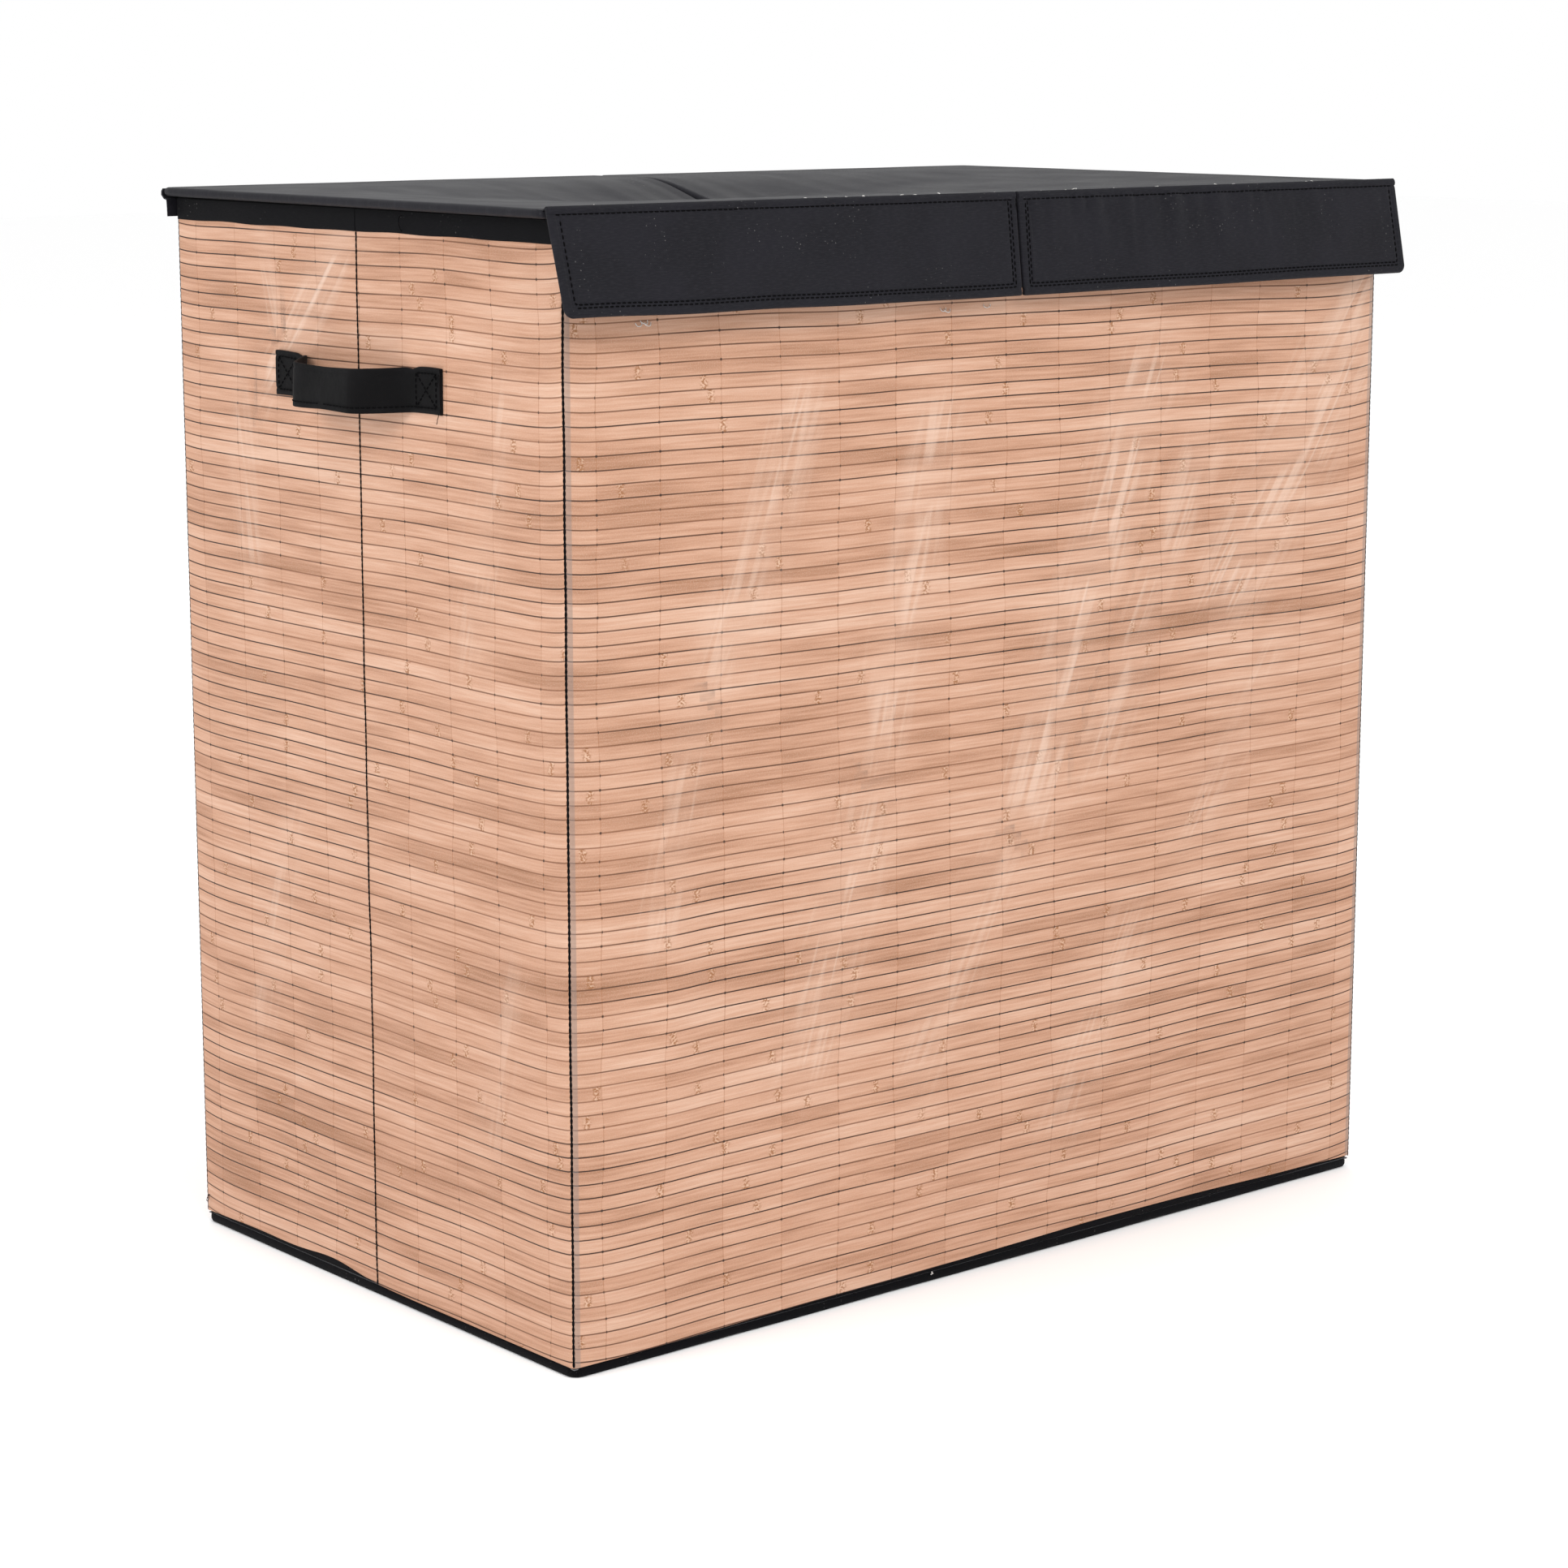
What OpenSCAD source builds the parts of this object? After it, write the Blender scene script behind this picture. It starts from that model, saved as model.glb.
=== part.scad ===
// Folding double laundry hamper with two lid flaps.
// Every wall is a stiff board between a printed outer cloth and a lining, with
// a black binding over its top edge. The narrow sides fold inwards at their
// middle seams, so that the front wall comes back to the rear wall.
// Frame: the origin is the middle of the base, on the floor. X runs across the
// front, Y runs from the front (-Y) to the rear, Z is up.

/* [Body] */
// Outside width of the standing walls
body_w = 600; // [480:10:720]
// Outside depth of the standing walls
body_d = 360; // [290:10:440]
// Height of the top edges of the walls above the floor
body_h = 598; // [480:2:720]

/* [Wall panels] */
// Thickness of the stiffening board in a wall
board_t = 2.4; // [1.6:0.2:3.6]
// Thickness of the printed outer cloth
print_t = 0.8; // [0.5:0.1:1.2]
// Thickness of the lining cloth
lining_t = 0.8; // [0.5:0.1:1.2]
// Gap between the edges of two panels that fold on each other
fold_gap = 0.6; // [0.4:0.1:2]
// Gap between the base and the panels above it
floor_gap = 0.5; // [0.3:0.1:3]

/* [Top binding] */
// Height of the binding on a wall
binding_h = 12; // [8:1:20]
// How far the binding stands out past the printed cloth
binding_proud = 0.6; // [0.4:0.1:1.2]
// Thickness of the binding over the top edge of the board
binding_cap = 1; // [0.6:0.2:2]

/* [Base] */
// Thickness of the whole base
base_h = 5.5; // [4:0.5:10]
// How far the base stands out past the walls
base_proud = 0; // [0:0.5:4]
// Thickness of the base's black cloth
base_cloth_t = 0.8; // [0.5:0.1:1.2]

/* [Lids] */
// Thickness of a lid
lid_t = 4.6; // [3.4:0.2:7]
// Thickness of the black cloth round a lid or a valance
cover_t = 0.8; // [0.5:0.1:1.2]
// Gap between the wall tops and a closed lid
lid_gap = 0.4; // [0.3:0.1:2]
// Gap between the two lids
lid_split = 1; // [0.6:0.2:4]
// How far a lid reaches past the side wall
lid_side_over = 6; // [2:1:12]
// How far a lid reaches past the front wall
lid_front_over = 4; // [3:1:12]
// How far a lid reaches past the rear wall
lid_rear_over = 6; // [5:1:12]
// Distance from the rear edge of a lid back to its hinge line
hinge_setback = 2; // [1:0.5:6]
// Distance from the rear edge of a lid's cloth to its board
lid_board_inset = 3; // [1:1:12]

/* [Valances] */
// Height of the valance at the front of a lid
valance_h = 55; // [35:1:80]
// Thickness of a valance
valance_t = 3.4; // [2.6:0.2:5]
// Angle from upright at which a valance stands off at rest
valance_flare = 11; // [6:1:20]
// Gap between the front edge of a lid and its valance
valance_gap = 0.4; // [0.3:0.1:1.5]

/* [Closure pads] */
// Side of a square hook or loop pad
pad_size = 22; // [14:1:30]
// Thickness of a pad
pad_t = 0.9; // [0.5:0.1:1.2]
// Distance from the middle of a lid to each of its two pads
pad_offset = 101; // [50:1:110]
// Distance from the bottom edge of a valance to its hook pads
pad_edge = 5; // [2:1:15]
// How far the loop pads sit below the hook pads
pad_drop = 4; // [0:1:8]

/* [Handles] */
// Width of the handle strap
strap_w = 24; // [16:1:36]
// Thickness of the handle strap
strap_t = 2.6; // [1.6:0.2:4]
// Length of a handle from end to end
strap_len = 155; // [110:5:200]
// Length of the sewn patch at each end of a handle
patch_len = 25; // [16:1:32]
// How far the middle of a handle stands out from the side
strap_bow = 22; // [12:1:32]
// Length over which the strap rises from its patch to its full bow
strap_rise = 28; // [14:1:40]
// Distance from the top edge of the walls down to the middle of a handle
strap_drop = 92; // [40:2:300]

/* [Divider] */
// Thickness of the cloth divider between the two compartments
divider_t = 1; // [0.6:0.2:2]
// Distance from the top edge of the walls down to the divider
divider_drop = 42; // [10:2:200]

/* [Hinge tapes] */
// Thickness of the tape that hinges a lid on the rear wall
tape_t = 0.8; // [0.5:0.1:1]
// Gap between the tape and the lid above it
tape_gap = 0.4; // [0.3:0.1:1]

/* [Pose] */
// Angle through which the narrow sides are folded in, where 0 is standing
fold_angle = 0; // [0:1:86]
// Angle through which the left lid is swung open
left_lid_angle = 0; // [0:1:262]
// Angle through which the right lid is swung open
right_lid_angle = 0; // [0:1:262]
// Angle through which the left valance is lifted
left_valance_angle = 0; // [-9:1:95]
// Angle through which the right valance is lifted
right_valance_angle = 0; // [-9:1:95]

/* [Hidden] */
$fn = 48;
wall_t = print_t + board_t + lining_t;
panel_z = base_h + floor_gap;
binding_z = body_h - binding_h;
board_top = body_h - binding_cap;

// A narrow side is two panels that meet at its middle seam
side_end = body_d / 2 - wall_t - fold_gap;
side_panel_w = side_end - fold_gap / 2;

// Hinge lines of the fold. The two panels of a side turn about a line just
// outside their bindings, and each corner turns about the panel's inner edge.
middle_fold_x = body_w / 2 + binding_proud + fold_gap / 2;
corner_fold_x = body_w / 2 - wall_t;
corner_fold_y = side_end;

// How far the front wall has come back towards the rear wall
fold_reach = (middle_fold_x - corner_fold_x) * sin(fold_angle) + corner_fold_y * cos(fold_angle);
front_travel = 2 * (corner_fold_y - fold_reach);

lid_z = body_h + lid_gap;
lid_top = lid_z + lid_t;
lid_front_y = -body_d / 2 - lid_front_over;
lid_rear_y = body_d / 2 + lid_rear_over;
lid_w = body_w / 2 + lid_side_over - lid_split / 2;
lid_mid_x = lid_split / 2 + lid_w / 2;

// Hinge line of a lid, in the plane of its underside
lid_hinge_y = lid_rear_y + hinge_setback;
lid_hinge_z = lid_z;

// Hinge line of a valance, at the top front edge of its lid
valance_hinge_y = lid_front_y - valance_gap;
valance_hinge_z = lid_top;

hook_pad_z = pad_edge + pad_size - valance_h;
loop_pad_top = valance_hinge_z + hook_pad_z - pad_drop;

bow_half = strap_len / 2 - patch_len;
bow_steps = 24;
tape_leg = binding_h - tape_gap;
divider_gap = 0.5;

PRINT = [0.66, 0.52, 0.42];
BLACK = [0.1, 0.1, 0.11];
LINING = [0.3, 0.3, 0.31];
BOARD = [0.7, 0.58, 0.42];
WEBBING = [0.13, 0.13, 0.14];
PAD = [0.05, 0.05, 0.05];

// ---- Layers of one wall panel ----
// A panel's own frame has X along the wall, Y from its outer face inwards and
// Z up from the floor. Each layer takes the width of its panel.

// Printed cloth on the outside
module print_layer(w) {
    color(PRINT)
        translate([0, 0, panel_z])
            cube([w, print_t, binding_z - panel_z]);
}

// Stiffening board
module board_layer(w) {
    color(BOARD)
        translate([0, print_t, panel_z])
            cube([w, board_t, board_top - panel_z]);
}

// Lining on the inside
module lining_layer(w) {
    color(LINING)
        translate([0, print_t + board_t, panel_z])
            cube([w, lining_t, binding_z - panel_z]);
}

// Binding folded over the top edge, with the board inside it
module binding_layer(w) {
    color(BLACK)
        difference() {
            translate([0, -binding_proud, binding_z])
                cube([w, wall_t + binding_proud, binding_h]);
            translate([-1, print_t, binding_z - 1])
                cube([w + 2, board_t, binding_h - binding_cap + 1]);
        }
}

// ---- Places of the panels ----

// Turns about the upright line through a point
module turn_about(x, y, angle) {
    translate([x, y, 0])
        rotate([0, 0, angle])
            translate([-x, -y, 0])
                children();
}

module at_rear() {
    translate([body_w / 2, body_d / 2, 0])
        rotate([0, 0, 180])
            children();
}

module at_front() {
    translate([-body_w / 2, front_travel - body_d / 2, 0])
        children();
}

module at_left_rear() {
    turn_about(-corner_fold_x, corner_fold_y, fold_angle)
        translate([-body_w / 2, side_end, 0])
            rotate([0, 0, -90])
                children();
}

module at_left_front() {
    turn_about(-corner_fold_x, corner_fold_y, fold_angle)
        turn_about(-middle_fold_x, 0, -2 * fold_angle)
            translate([-body_w / 2, -fold_gap / 2, 0])
                rotate([0, 0, -90])
                    children();
}

module at_right_rear() {
    mirror([1, 0, 0])
        at_left_rear()
            children();
}

module at_right_front() {
    mirror([1, 0, 0])
        at_left_front()
            children();
}

// ---- Walls ----

module rear_wall_print() { at_rear() print_layer(body_w); }
module rear_wall_board() { at_rear() board_layer(body_w); }
module rear_wall_lining() { at_rear() lining_layer(body_w); }
module rear_wall_binding() { at_rear() binding_layer(body_w); }

module front_wall_print() { at_front() print_layer(body_w); }
module front_wall_board() { at_front() board_layer(body_w); }
module front_wall_lining() { at_front() lining_layer(body_w); }
module front_wall_binding() { at_front() binding_layer(body_w); }

module left_rear_print() { at_left_rear() print_layer(side_panel_w); }
module left_rear_board() { at_left_rear() board_layer(side_panel_w); }
module left_rear_lining() { at_left_rear() lining_layer(side_panel_w); }
module left_rear_binding() { at_left_rear() binding_layer(side_panel_w); }

module left_front_print() { at_left_front() print_layer(side_panel_w); }
module left_front_board() { at_left_front() board_layer(side_panel_w); }
module left_front_lining() { at_left_front() lining_layer(side_panel_w); }
module left_front_binding() { at_left_front() binding_layer(side_panel_w); }

module right_rear_print() { at_right_rear() print_layer(side_panel_w); }
module right_rear_board() { at_right_rear() board_layer(side_panel_w); }
module right_rear_lining() { at_right_rear() lining_layer(side_panel_w); }
module right_rear_binding() { at_right_rear() binding_layer(side_panel_w); }

module right_front_print() { at_right_front() print_layer(side_panel_w); }
module right_front_board() { at_right_front() board_layer(side_panel_w); }
module right_front_lining() { at_right_front() lining_layer(side_panel_w); }
module right_front_binding() { at_right_front() binding_layer(side_panel_w); }

// ---- Base ----

// Box centred on the Z axis that stands out past the walls by an amount
module base_slab(proud, z, h) {
    w = body_w + 2 * proud;
    d = body_d + 2 * proud;
    translate([-w / 2, -d / 2, z])
        cube([w, d, h]);
}

// Black cloth under the base and up its edges
module base_cover() {
    color(BLACK)
        difference() {
            base_slab(base_proud, 0, base_h);
            base_slab(base_proud - base_cloth_t, base_cloth_t, base_h);
        }
}

// Stiffening board of the base
module base_board() {
    color(BOARD)
        base_slab(base_proud - base_cloth_t, base_cloth_t, base_h - base_cloth_t - lining_t);
}

// Lining over the base board
module base_lining() {
    color(LINING)
        base_slab(base_proud - base_cloth_t, base_h - lining_t, lining_t);
}

// Cloth hung between the front and rear walls
module divider() {
    reach = body_d / 2 - wall_t - divider_gap;
    color(LINING)
        translate([-divider_t / 2, -reach, panel_z])
            cube([divider_t, 2 * reach, body_h - divider_drop - panel_z]);
}

// ---- Lids ----
// The right lid is drawn, and the left lid is its mirror image.

// Turns about a line along X, so that what is in front of it comes up
module swing(y, z, angle) {
    translate([0, y, z])
        rotate([-angle, 0, 0])
            translate([0, -y, -z])
                children();
}

module on_right_lid() {
    swing(lid_hinge_y, lid_hinge_z, right_lid_angle)
        children();
}

module on_left_lid() {
    swing(lid_hinge_y, lid_hinge_z, left_lid_angle)
        mirror([1, 0, 0])
            children();
}

// Cloth pocket round the lid board, open at the rear edge
module lid_cover() {
    color(BLACK)
        difference() {
            translate([lid_split / 2, lid_front_y, lid_z])
                cube([lid_w, lid_rear_y - lid_front_y, lid_t]);
            lid_pocket(lid_rear_y + 1);
        }
}

// Space inside the lid's cloth, from its front end back to a given Y
module lid_pocket(rear_y) {
    front_y = lid_front_y + cover_t;
    translate([lid_split / 2 + cover_t, front_y, lid_z + cover_t])
        cube([lid_w - 2 * cover_t, rear_y - front_y, lid_t - 2 * cover_t]);
}

module lid_board() {
    color(BOARD)
        lid_pocket(lid_rear_y - lid_board_inset);
}

module right_lid_cover() { on_right_lid() lid_cover(); }
module right_lid_board() { on_right_lid() lid_board(); }
module left_lid_cover() { on_left_lid() lid_cover(); }
module left_lid_board() { on_left_lid() lid_board(); }

// ---- Valances ----
// A valance's own frame has its origin on its hinge line at the middle of the
// lid, Y from its outer face (-valance_t) to its inner face (0), Z up.

module at_valance(angle) {
    translate([lid_mid_x, valance_hinge_y, valance_hinge_z])
        rotate([-valance_flare - angle, 0, 0])
            children();
}

// Space inside the valance's cloth, up to a given Z
module valance_pocket(top_z) {
    bottom_z = cover_t - valance_h;
    translate([cover_t - lid_w / 2, cover_t - valance_t, bottom_z])
        cube([lid_w - 2 * cover_t, valance_t - 2 * cover_t, top_z - bottom_z]);
}

// Cloth pocket round the valance board, open at the fold
module valance_cover(angle) {
    color(BLACK)
        at_valance(angle)
            difference() {
                translate([-lid_w / 2, -valance_t, -valance_h])
                    cube([lid_w, valance_t, valance_h]);
                valance_pocket(1);
            }
}

module valance_board(angle) {
    color(BOARD)
        at_valance(angle)
            valance_pocket(-cover_t);
}

// Hook pads on the inner face of a valance
module hook_pads(angle) {
    color(PAD)
        at_valance(angle)
            for (side = [-1, 1])
                translate([side * pad_offset - pad_size / 2, 0, hook_pad_z - pad_size])
                    cube([pad_size, pad_t, pad_size]);
}

module right_valance_cover() { on_right_lid() valance_cover(right_valance_angle); }
module right_valance_board() { on_right_lid() valance_board(right_valance_angle); }
module right_hook_pads() { on_right_lid() hook_pads(right_valance_angle); }
module left_valance_cover() { on_left_lid() valance_cover(left_valance_angle); }
module left_valance_board() { on_left_lid() valance_board(left_valance_angle); }
module left_hook_pads() { on_left_lid() hook_pads(left_valance_angle); }

// Loop pads on the front wall, one behind each hook pad
module loop_pads() {
    color(PAD)
        at_front()
            for (lid = [-1, 1], side = [-1, 1])
                translate([body_w / 2 + lid * lid_mid_x + side * pad_offset - pad_size / 2,
                           -pad_t, loop_pad_top - pad_size])
                    cube([pad_size, pad_t, pad_size]);
}

// ---- Handles ----

// How far the strap's inner face stands out from the side at a given Y. It
// rises in an S curve from each patch to a level middle.
function bow_share(y) = max(0, min(1, (bow_half - abs(y)) / strap_rise));
function bow(y) = strap_bow * pow(bow_share(y), 2) * (3 - 2 * bow_share(y));

bow_ys = [for (i = [-bow_steps : bow_steps]) bow_half * i / bow_steps];

// Outline from above: along the inner face and back along the outer face
strap_outline = concat(
    [[0, -strap_len / 2]],
    [for (y = bow_ys) [bow(y), y]],
    [[0, strap_len / 2], [strap_t, strap_len / 2]],
    [for (i = [len(bow_ys) - 1 : -1 : 0]) [bow(bow_ys[i]) + strap_t, bow_ys[i]]],
    [[strap_t, -strap_len / 2]]
);

module right_handle() {
    color(WEBBING)
        translate([body_w / 2, 0, body_h - strap_drop - strap_w / 2])
            linear_extrude(strap_w)
                polygon(strap_outline);
}

module left_handle() { mirror([1, 0, 0]) right_handle(); }

// ---- Hinge tapes ----

// Tape down the outside of the rear binding and out under the lid's rear edge
module right_hinge_tape() {
    wall_y = body_d / 2 + binding_proud;
    color(BLACK)
        translate([lid_split / 2, wall_y, binding_z]) {
            cube([lid_w - lid_side_over, tape_t, tape_leg]);
            translate([0, 0, tape_leg - tape_t])
                cube([lid_w - lid_side_over, lid_rear_y - wall_y, tape_t]);
        }
}

module left_hinge_tape() { mirror([1, 0, 0]) right_hinge_tape(); }

rear_wall_print();
rear_wall_board();
rear_wall_lining();
rear_wall_binding();
front_wall_print();
front_wall_board();
front_wall_lining();
front_wall_binding();
left_rear_print();
left_rear_board();
left_rear_lining();
left_rear_binding();
left_front_print();
left_front_board();
left_front_lining();
left_front_binding();
right_rear_print();
right_rear_board();
right_rear_lining();
right_rear_binding();
right_front_print();
right_front_board();
right_front_lining();
right_front_binding();
base_cover();
base_board();
base_lining();
divider();
left_lid_cover();
left_lid_board();
left_valance_cover();
left_valance_board();
right_lid_cover();
right_lid_board();
right_valance_cover();
right_valance_board();
left_handle();
right_handle();
left_hinge_tape();
right_hinge_tape();
loop_pads();
left_hook_pads();
right_hook_pads();
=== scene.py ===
import math

import bpy
import numpy as np
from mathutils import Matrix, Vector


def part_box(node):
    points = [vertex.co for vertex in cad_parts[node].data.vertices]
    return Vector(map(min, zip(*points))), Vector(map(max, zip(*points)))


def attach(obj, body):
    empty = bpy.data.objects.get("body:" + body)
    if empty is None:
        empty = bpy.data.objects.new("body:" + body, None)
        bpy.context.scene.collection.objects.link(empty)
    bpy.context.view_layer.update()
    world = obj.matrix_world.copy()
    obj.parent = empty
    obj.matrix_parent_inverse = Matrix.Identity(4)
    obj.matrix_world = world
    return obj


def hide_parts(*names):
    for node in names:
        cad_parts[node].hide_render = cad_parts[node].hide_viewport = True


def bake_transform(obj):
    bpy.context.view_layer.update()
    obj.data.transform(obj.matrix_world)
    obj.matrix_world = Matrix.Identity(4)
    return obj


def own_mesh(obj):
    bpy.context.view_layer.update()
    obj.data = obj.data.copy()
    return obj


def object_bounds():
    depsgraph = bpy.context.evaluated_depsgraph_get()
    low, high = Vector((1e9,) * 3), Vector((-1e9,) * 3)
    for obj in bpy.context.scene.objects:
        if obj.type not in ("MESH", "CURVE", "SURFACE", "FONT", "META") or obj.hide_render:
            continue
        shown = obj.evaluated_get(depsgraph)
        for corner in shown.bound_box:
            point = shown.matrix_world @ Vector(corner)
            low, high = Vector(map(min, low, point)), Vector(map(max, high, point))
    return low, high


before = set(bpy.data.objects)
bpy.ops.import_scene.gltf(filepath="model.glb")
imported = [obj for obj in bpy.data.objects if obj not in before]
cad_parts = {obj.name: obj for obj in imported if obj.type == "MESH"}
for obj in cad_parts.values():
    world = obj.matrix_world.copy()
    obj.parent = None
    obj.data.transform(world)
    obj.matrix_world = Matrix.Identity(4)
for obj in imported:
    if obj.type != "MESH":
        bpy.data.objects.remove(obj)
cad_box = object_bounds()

# ---- Camera and studio ----
# The hamper stands on a pale sheet under large soft lamps. The camera looks at
# its front left corner from a little above.

scene = bpy.context.scene
scene.view_settings.view_transform = "Standard"

camera = bpy.data.objects.new("camera", bpy.data.cameras.new("camera"))
scene.collection.objects.link(camera)
camera.location = (-1.4277, -1.6914, 0.6822)
camera.rotation_euler = (math.radians(90 - 11.011), 0, math.radians(-40.049))
camera.data.sensor_width = 36
camera.data.lens = 87.386
scene.camera = camera

scene.world = bpy.data.worlds.new("studio")
scene.world.use_nodes = True
scene.world.node_tree.nodes["Background"].inputs["Color"].default_value = (1, 1, 1, 1)
scene.world.node_tree.nodes["Background"].inputs["Strength"].default_value = 1.0


def add_lamp(name, place, size, power):
    """A square area lamp that points at the middle of the hamper."""
    lamp = bpy.data.objects.new(name, bpy.data.lights.new(name, "AREA"))
    scene.collection.objects.link(lamp)
    lamp.data.size = size
    lamp.data.energy = power
    lamp.location = place
    target = (cad_box[0] + cad_box[1]) / 2
    lamp.rotation_euler = (target - lamp.location).to_track_quat("-Z", "Y").to_euler()


add_lamp("key_lamp", (-0.7, -2.7, 2.4), 1.3, 46)
add_lamp("side_lamp", (-3.0, 0.1, 1.9), 1.3, 33)
add_lamp("back_lamp", (1.6, 2.2, 2.6), 2.0, 14)

floor_mesh = bpy.data.meshes.new("floor")
floor_reach = 12
floor_corners = [(x * floor_reach, y * floor_reach, 0) for x, y in ((-1, -1), (1, -1), (1, 1), (-1, 1))]
floor_mesh.from_pydata(floor_corners, [], [(0, 1, 2, 3)])
floor = bpy.data.objects.new("floor", floor_mesh)
scene.collection.objects.link(floor)
floor_paint = bpy.data.materials.new("floor_paint")
floor_paint.use_nodes = True
floor_paint.node_tree.nodes["Principled BSDF"].inputs["Base Color"].default_value = (0.99, 0.99, 0.99, 1)
floor_paint.node_tree.nodes["Principled BSDF"].inputs["Roughness"].default_value = 0.9
floor_mesh.materials.append(floor_paint)

# ---- Base ----
# The base is a stiff board in a shallow black cloth tray, with a lining over it.
# The walls are sewn to its edges and stand on it.

MM = 0.001


class Signal:
    """A number on its way through a material. Arithmetic on it adds Math nodes."""

    def __init__(self, finish, socket):
        self.finish = finish
        self.socket = socket

    def math(self, operation, *values):
        return self.finish.node("Math", {"operation": operation}, dict(enumerate(values)))

    def __add__(self, other):
        return self.math("ADD", self, other)

    def __sub__(self, other):
        return self.math("SUBTRACT", self, other)

    def __rsub__(self, other):
        return self.math("SUBTRACT", other, self)

    def __mul__(self, other):
        return self.math("MULTIPLY", self, other)

    __radd__ = __add__
    __rmul__ = __mul__

    def __abs__(self):
        return self.math("ABSOLUTE", self)

    def whole(self):
        return self.math("FLOOR", self)

    def part(self):
        return self.math("FRACT", self)

    def sine(self):
        return self.math("SINE", self)

    def ramp(self, low, high):
        """0 below low, 1 above high, and smooth in between. Low may be the greater."""
        names = {"Value": self, "From Min": low, "From Max": high}
        return self.finish.node("MapRange", {"interpolation_type": "SMOOTHSTEP"}, names)


class Finish:
    """A node material whose patterns are laid out in metres on the cloth's UV map."""

    def __init__(self, name, **sockets):
        self.material = bpy.data.materials.new(name)
        self.material.use_nodes = True
        self.tree = self.material.node_tree
        self.shader = self.tree.nodes["Principled BSDF"]
        for key, value in sockets.items():
            self.shader.inputs[key.replace("_", " ")].default_value = value
        place = self.node("UVMap", {"uv_map": "cloth"}, {})
        split = {"Vector": place}
        self.u = self.node("SeparateXYZ", {}, split, 0)
        self.v = self.node("SeparateXYZ", {}, split, 1)

    def node(self, kind, settings, inputs, output=0):
        made = self.tree.nodes.new("ShaderNode" + kind)
        for key, value in settings.items():
            if key == "stops":
                while len(made.color_ramp.elements) < len(value):
                    made.color_ramp.elements.new(0.5)
                for element, (position, colour) in zip(made.color_ramp.elements, value):
                    element.position = position
                    element.color = (*colour, 1)
            else:
                setattr(made, key, value)
        for key, value in inputs.items():
            if isinstance(value, Signal):
                self.tree.links.new(value.socket, made.inputs[key])
            else:
                made.inputs[key].default_value = value
        return Signal(self, made.outputs[output])

    def noise(self, x, y, detail=1.0):
        """Smooth noise from 0 to 1 at a place that is given in its own grains."""
        place = self.node("CombineXYZ", {}, {0: x, 1: y})
        inputs = {"Vector": place, "Scale": 1.0, "Detail": detail}
        return self.node("TexNoise", {"noise_dimensions": "2D"}, inputs)

    def pick(self, x, y):
        """A random number from 0 to 1 for each pair of whole numbers."""
        place = self.node("CombineXYZ", {}, {0: x, 1: y})
        return self.node("TexWhiteNoise", {"noise_dimensions": "2D"}, {"Vector": place})

    def mix(self, share, first, second):
        """The first colour, turned into the second by a share from 0 to 1."""
        inputs = {0: share, 6: as_colour(first), 7: as_colour(second)}
        return self.node("Mix", {"data_type": "RGBA"}, inputs, 2)

    def done(self, colour, roughness, height):
        """Feeds the shader. The height of the surface is in metres."""
        bump = self.node("Bump", {}, {"Height": height, "Strength": 1.0, "Distance": 1.0})
        for key, value in {"Base Color": colour, "Roughness": roughness, "Normal": bump}.items():
            self.tree.links.new(value.socket, self.shader.inputs[key])
        return self.material


def as_colour(value):
    return value if isinstance(value, Signal) else (*value, 1)


def black_cloth(name, level, gloss):
    """Black woven polyester with lint and faint dust. Level scales its shades, and a level below 1 gives a
    copy darkened as painted shade.
    """
    f = Finish(name, Specular_IOR_Level=gloss, Sheen_Weight=0.03, Sheen_Roughness=0.5)
    cord = 2 * math.pi / (0.55 * MM)
    warp = ((f.u + f.v) * cord).sine()
    weft = ((f.u - f.v) * cord * 0.5).sine()
    weave = warp * 0.6 + weft * 0.4
    cloudy = f.noise(f.u * 22, f.v * 22, 3.0)
    slub = f.noise(f.u * 260, f.v * 1500, 1.0)
    fleck = f.noise(f.u * 900, f.v * 900, 0.0).ramp(0.83, 0.9)
    lint = fleck * f.noise(f.u * 30 + 7, f.v * 30, 1.0).ramp(0.5, 0.75)
    shades = np.array([(0.0056, 0.0054, 0.0080), (0.0088, 0.0084, 0.0120), (0.0170, 0.0165, 0.0205)])
    dark, light, worn = (level * shades).tolist()
    shade = f.mix(cloudy.ramp(0.25, 0.75), dark, light)
    shade = f.mix(slub.ramp(0.35, 0.9) * 0.5 + weave.ramp(0.2, 1.0) * 0.2, shade, worn)
    shade = f.mix(lint * 0.6, shade, (0.16, 0.155, 0.15))
    height = weave * (0.02 * MM) + slub * (0.03 * MM) + cloudy * (0.5 * MM)
    return f.done(shade, 0.52 + cloudy * 0.22 - lint * 0.1, height)


def lining_cloth():
    """Grey spun-bonded lining, embossed with rows of small dimples."""
    f = Finish("lining_cloth", Specular_IOR_Level=0.3, Sheen_Weight=0.15)
    step = 1 / (1.6 * MM)
    row = f.v * step
    shifted = f.u * step + row.whole() * 0.5
    across = abs(shifted.part() - 0.5)
    along = abs(row.part() - 0.5)
    dimple = (across * across + along * along).ramp(0.09, 0.03)
    fibre = f.noise(f.u * 500, f.v * 900, 3.0)
    cloudy = f.noise(f.u * 14, f.v * 14, 3.0)
    shade = f.mix(cloudy, (0.085, 0.085, 0.09), (0.12, 0.12, 0.127))
    shade = f.mix(fibre.ramp(0.4, 0.8) * 0.4, shade, (0.19, 0.19, 0.2))
    shade = f.mix(dimple * 0.45, shade, (0.06, 0.06, 0.064))
    height = fibre * (0.05 * MM) - dimple * (0.08 * MM) + cloudy * (0.6 * MM)
    return f.done(shade, 0.78 + fibre * 0.15, height)


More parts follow.
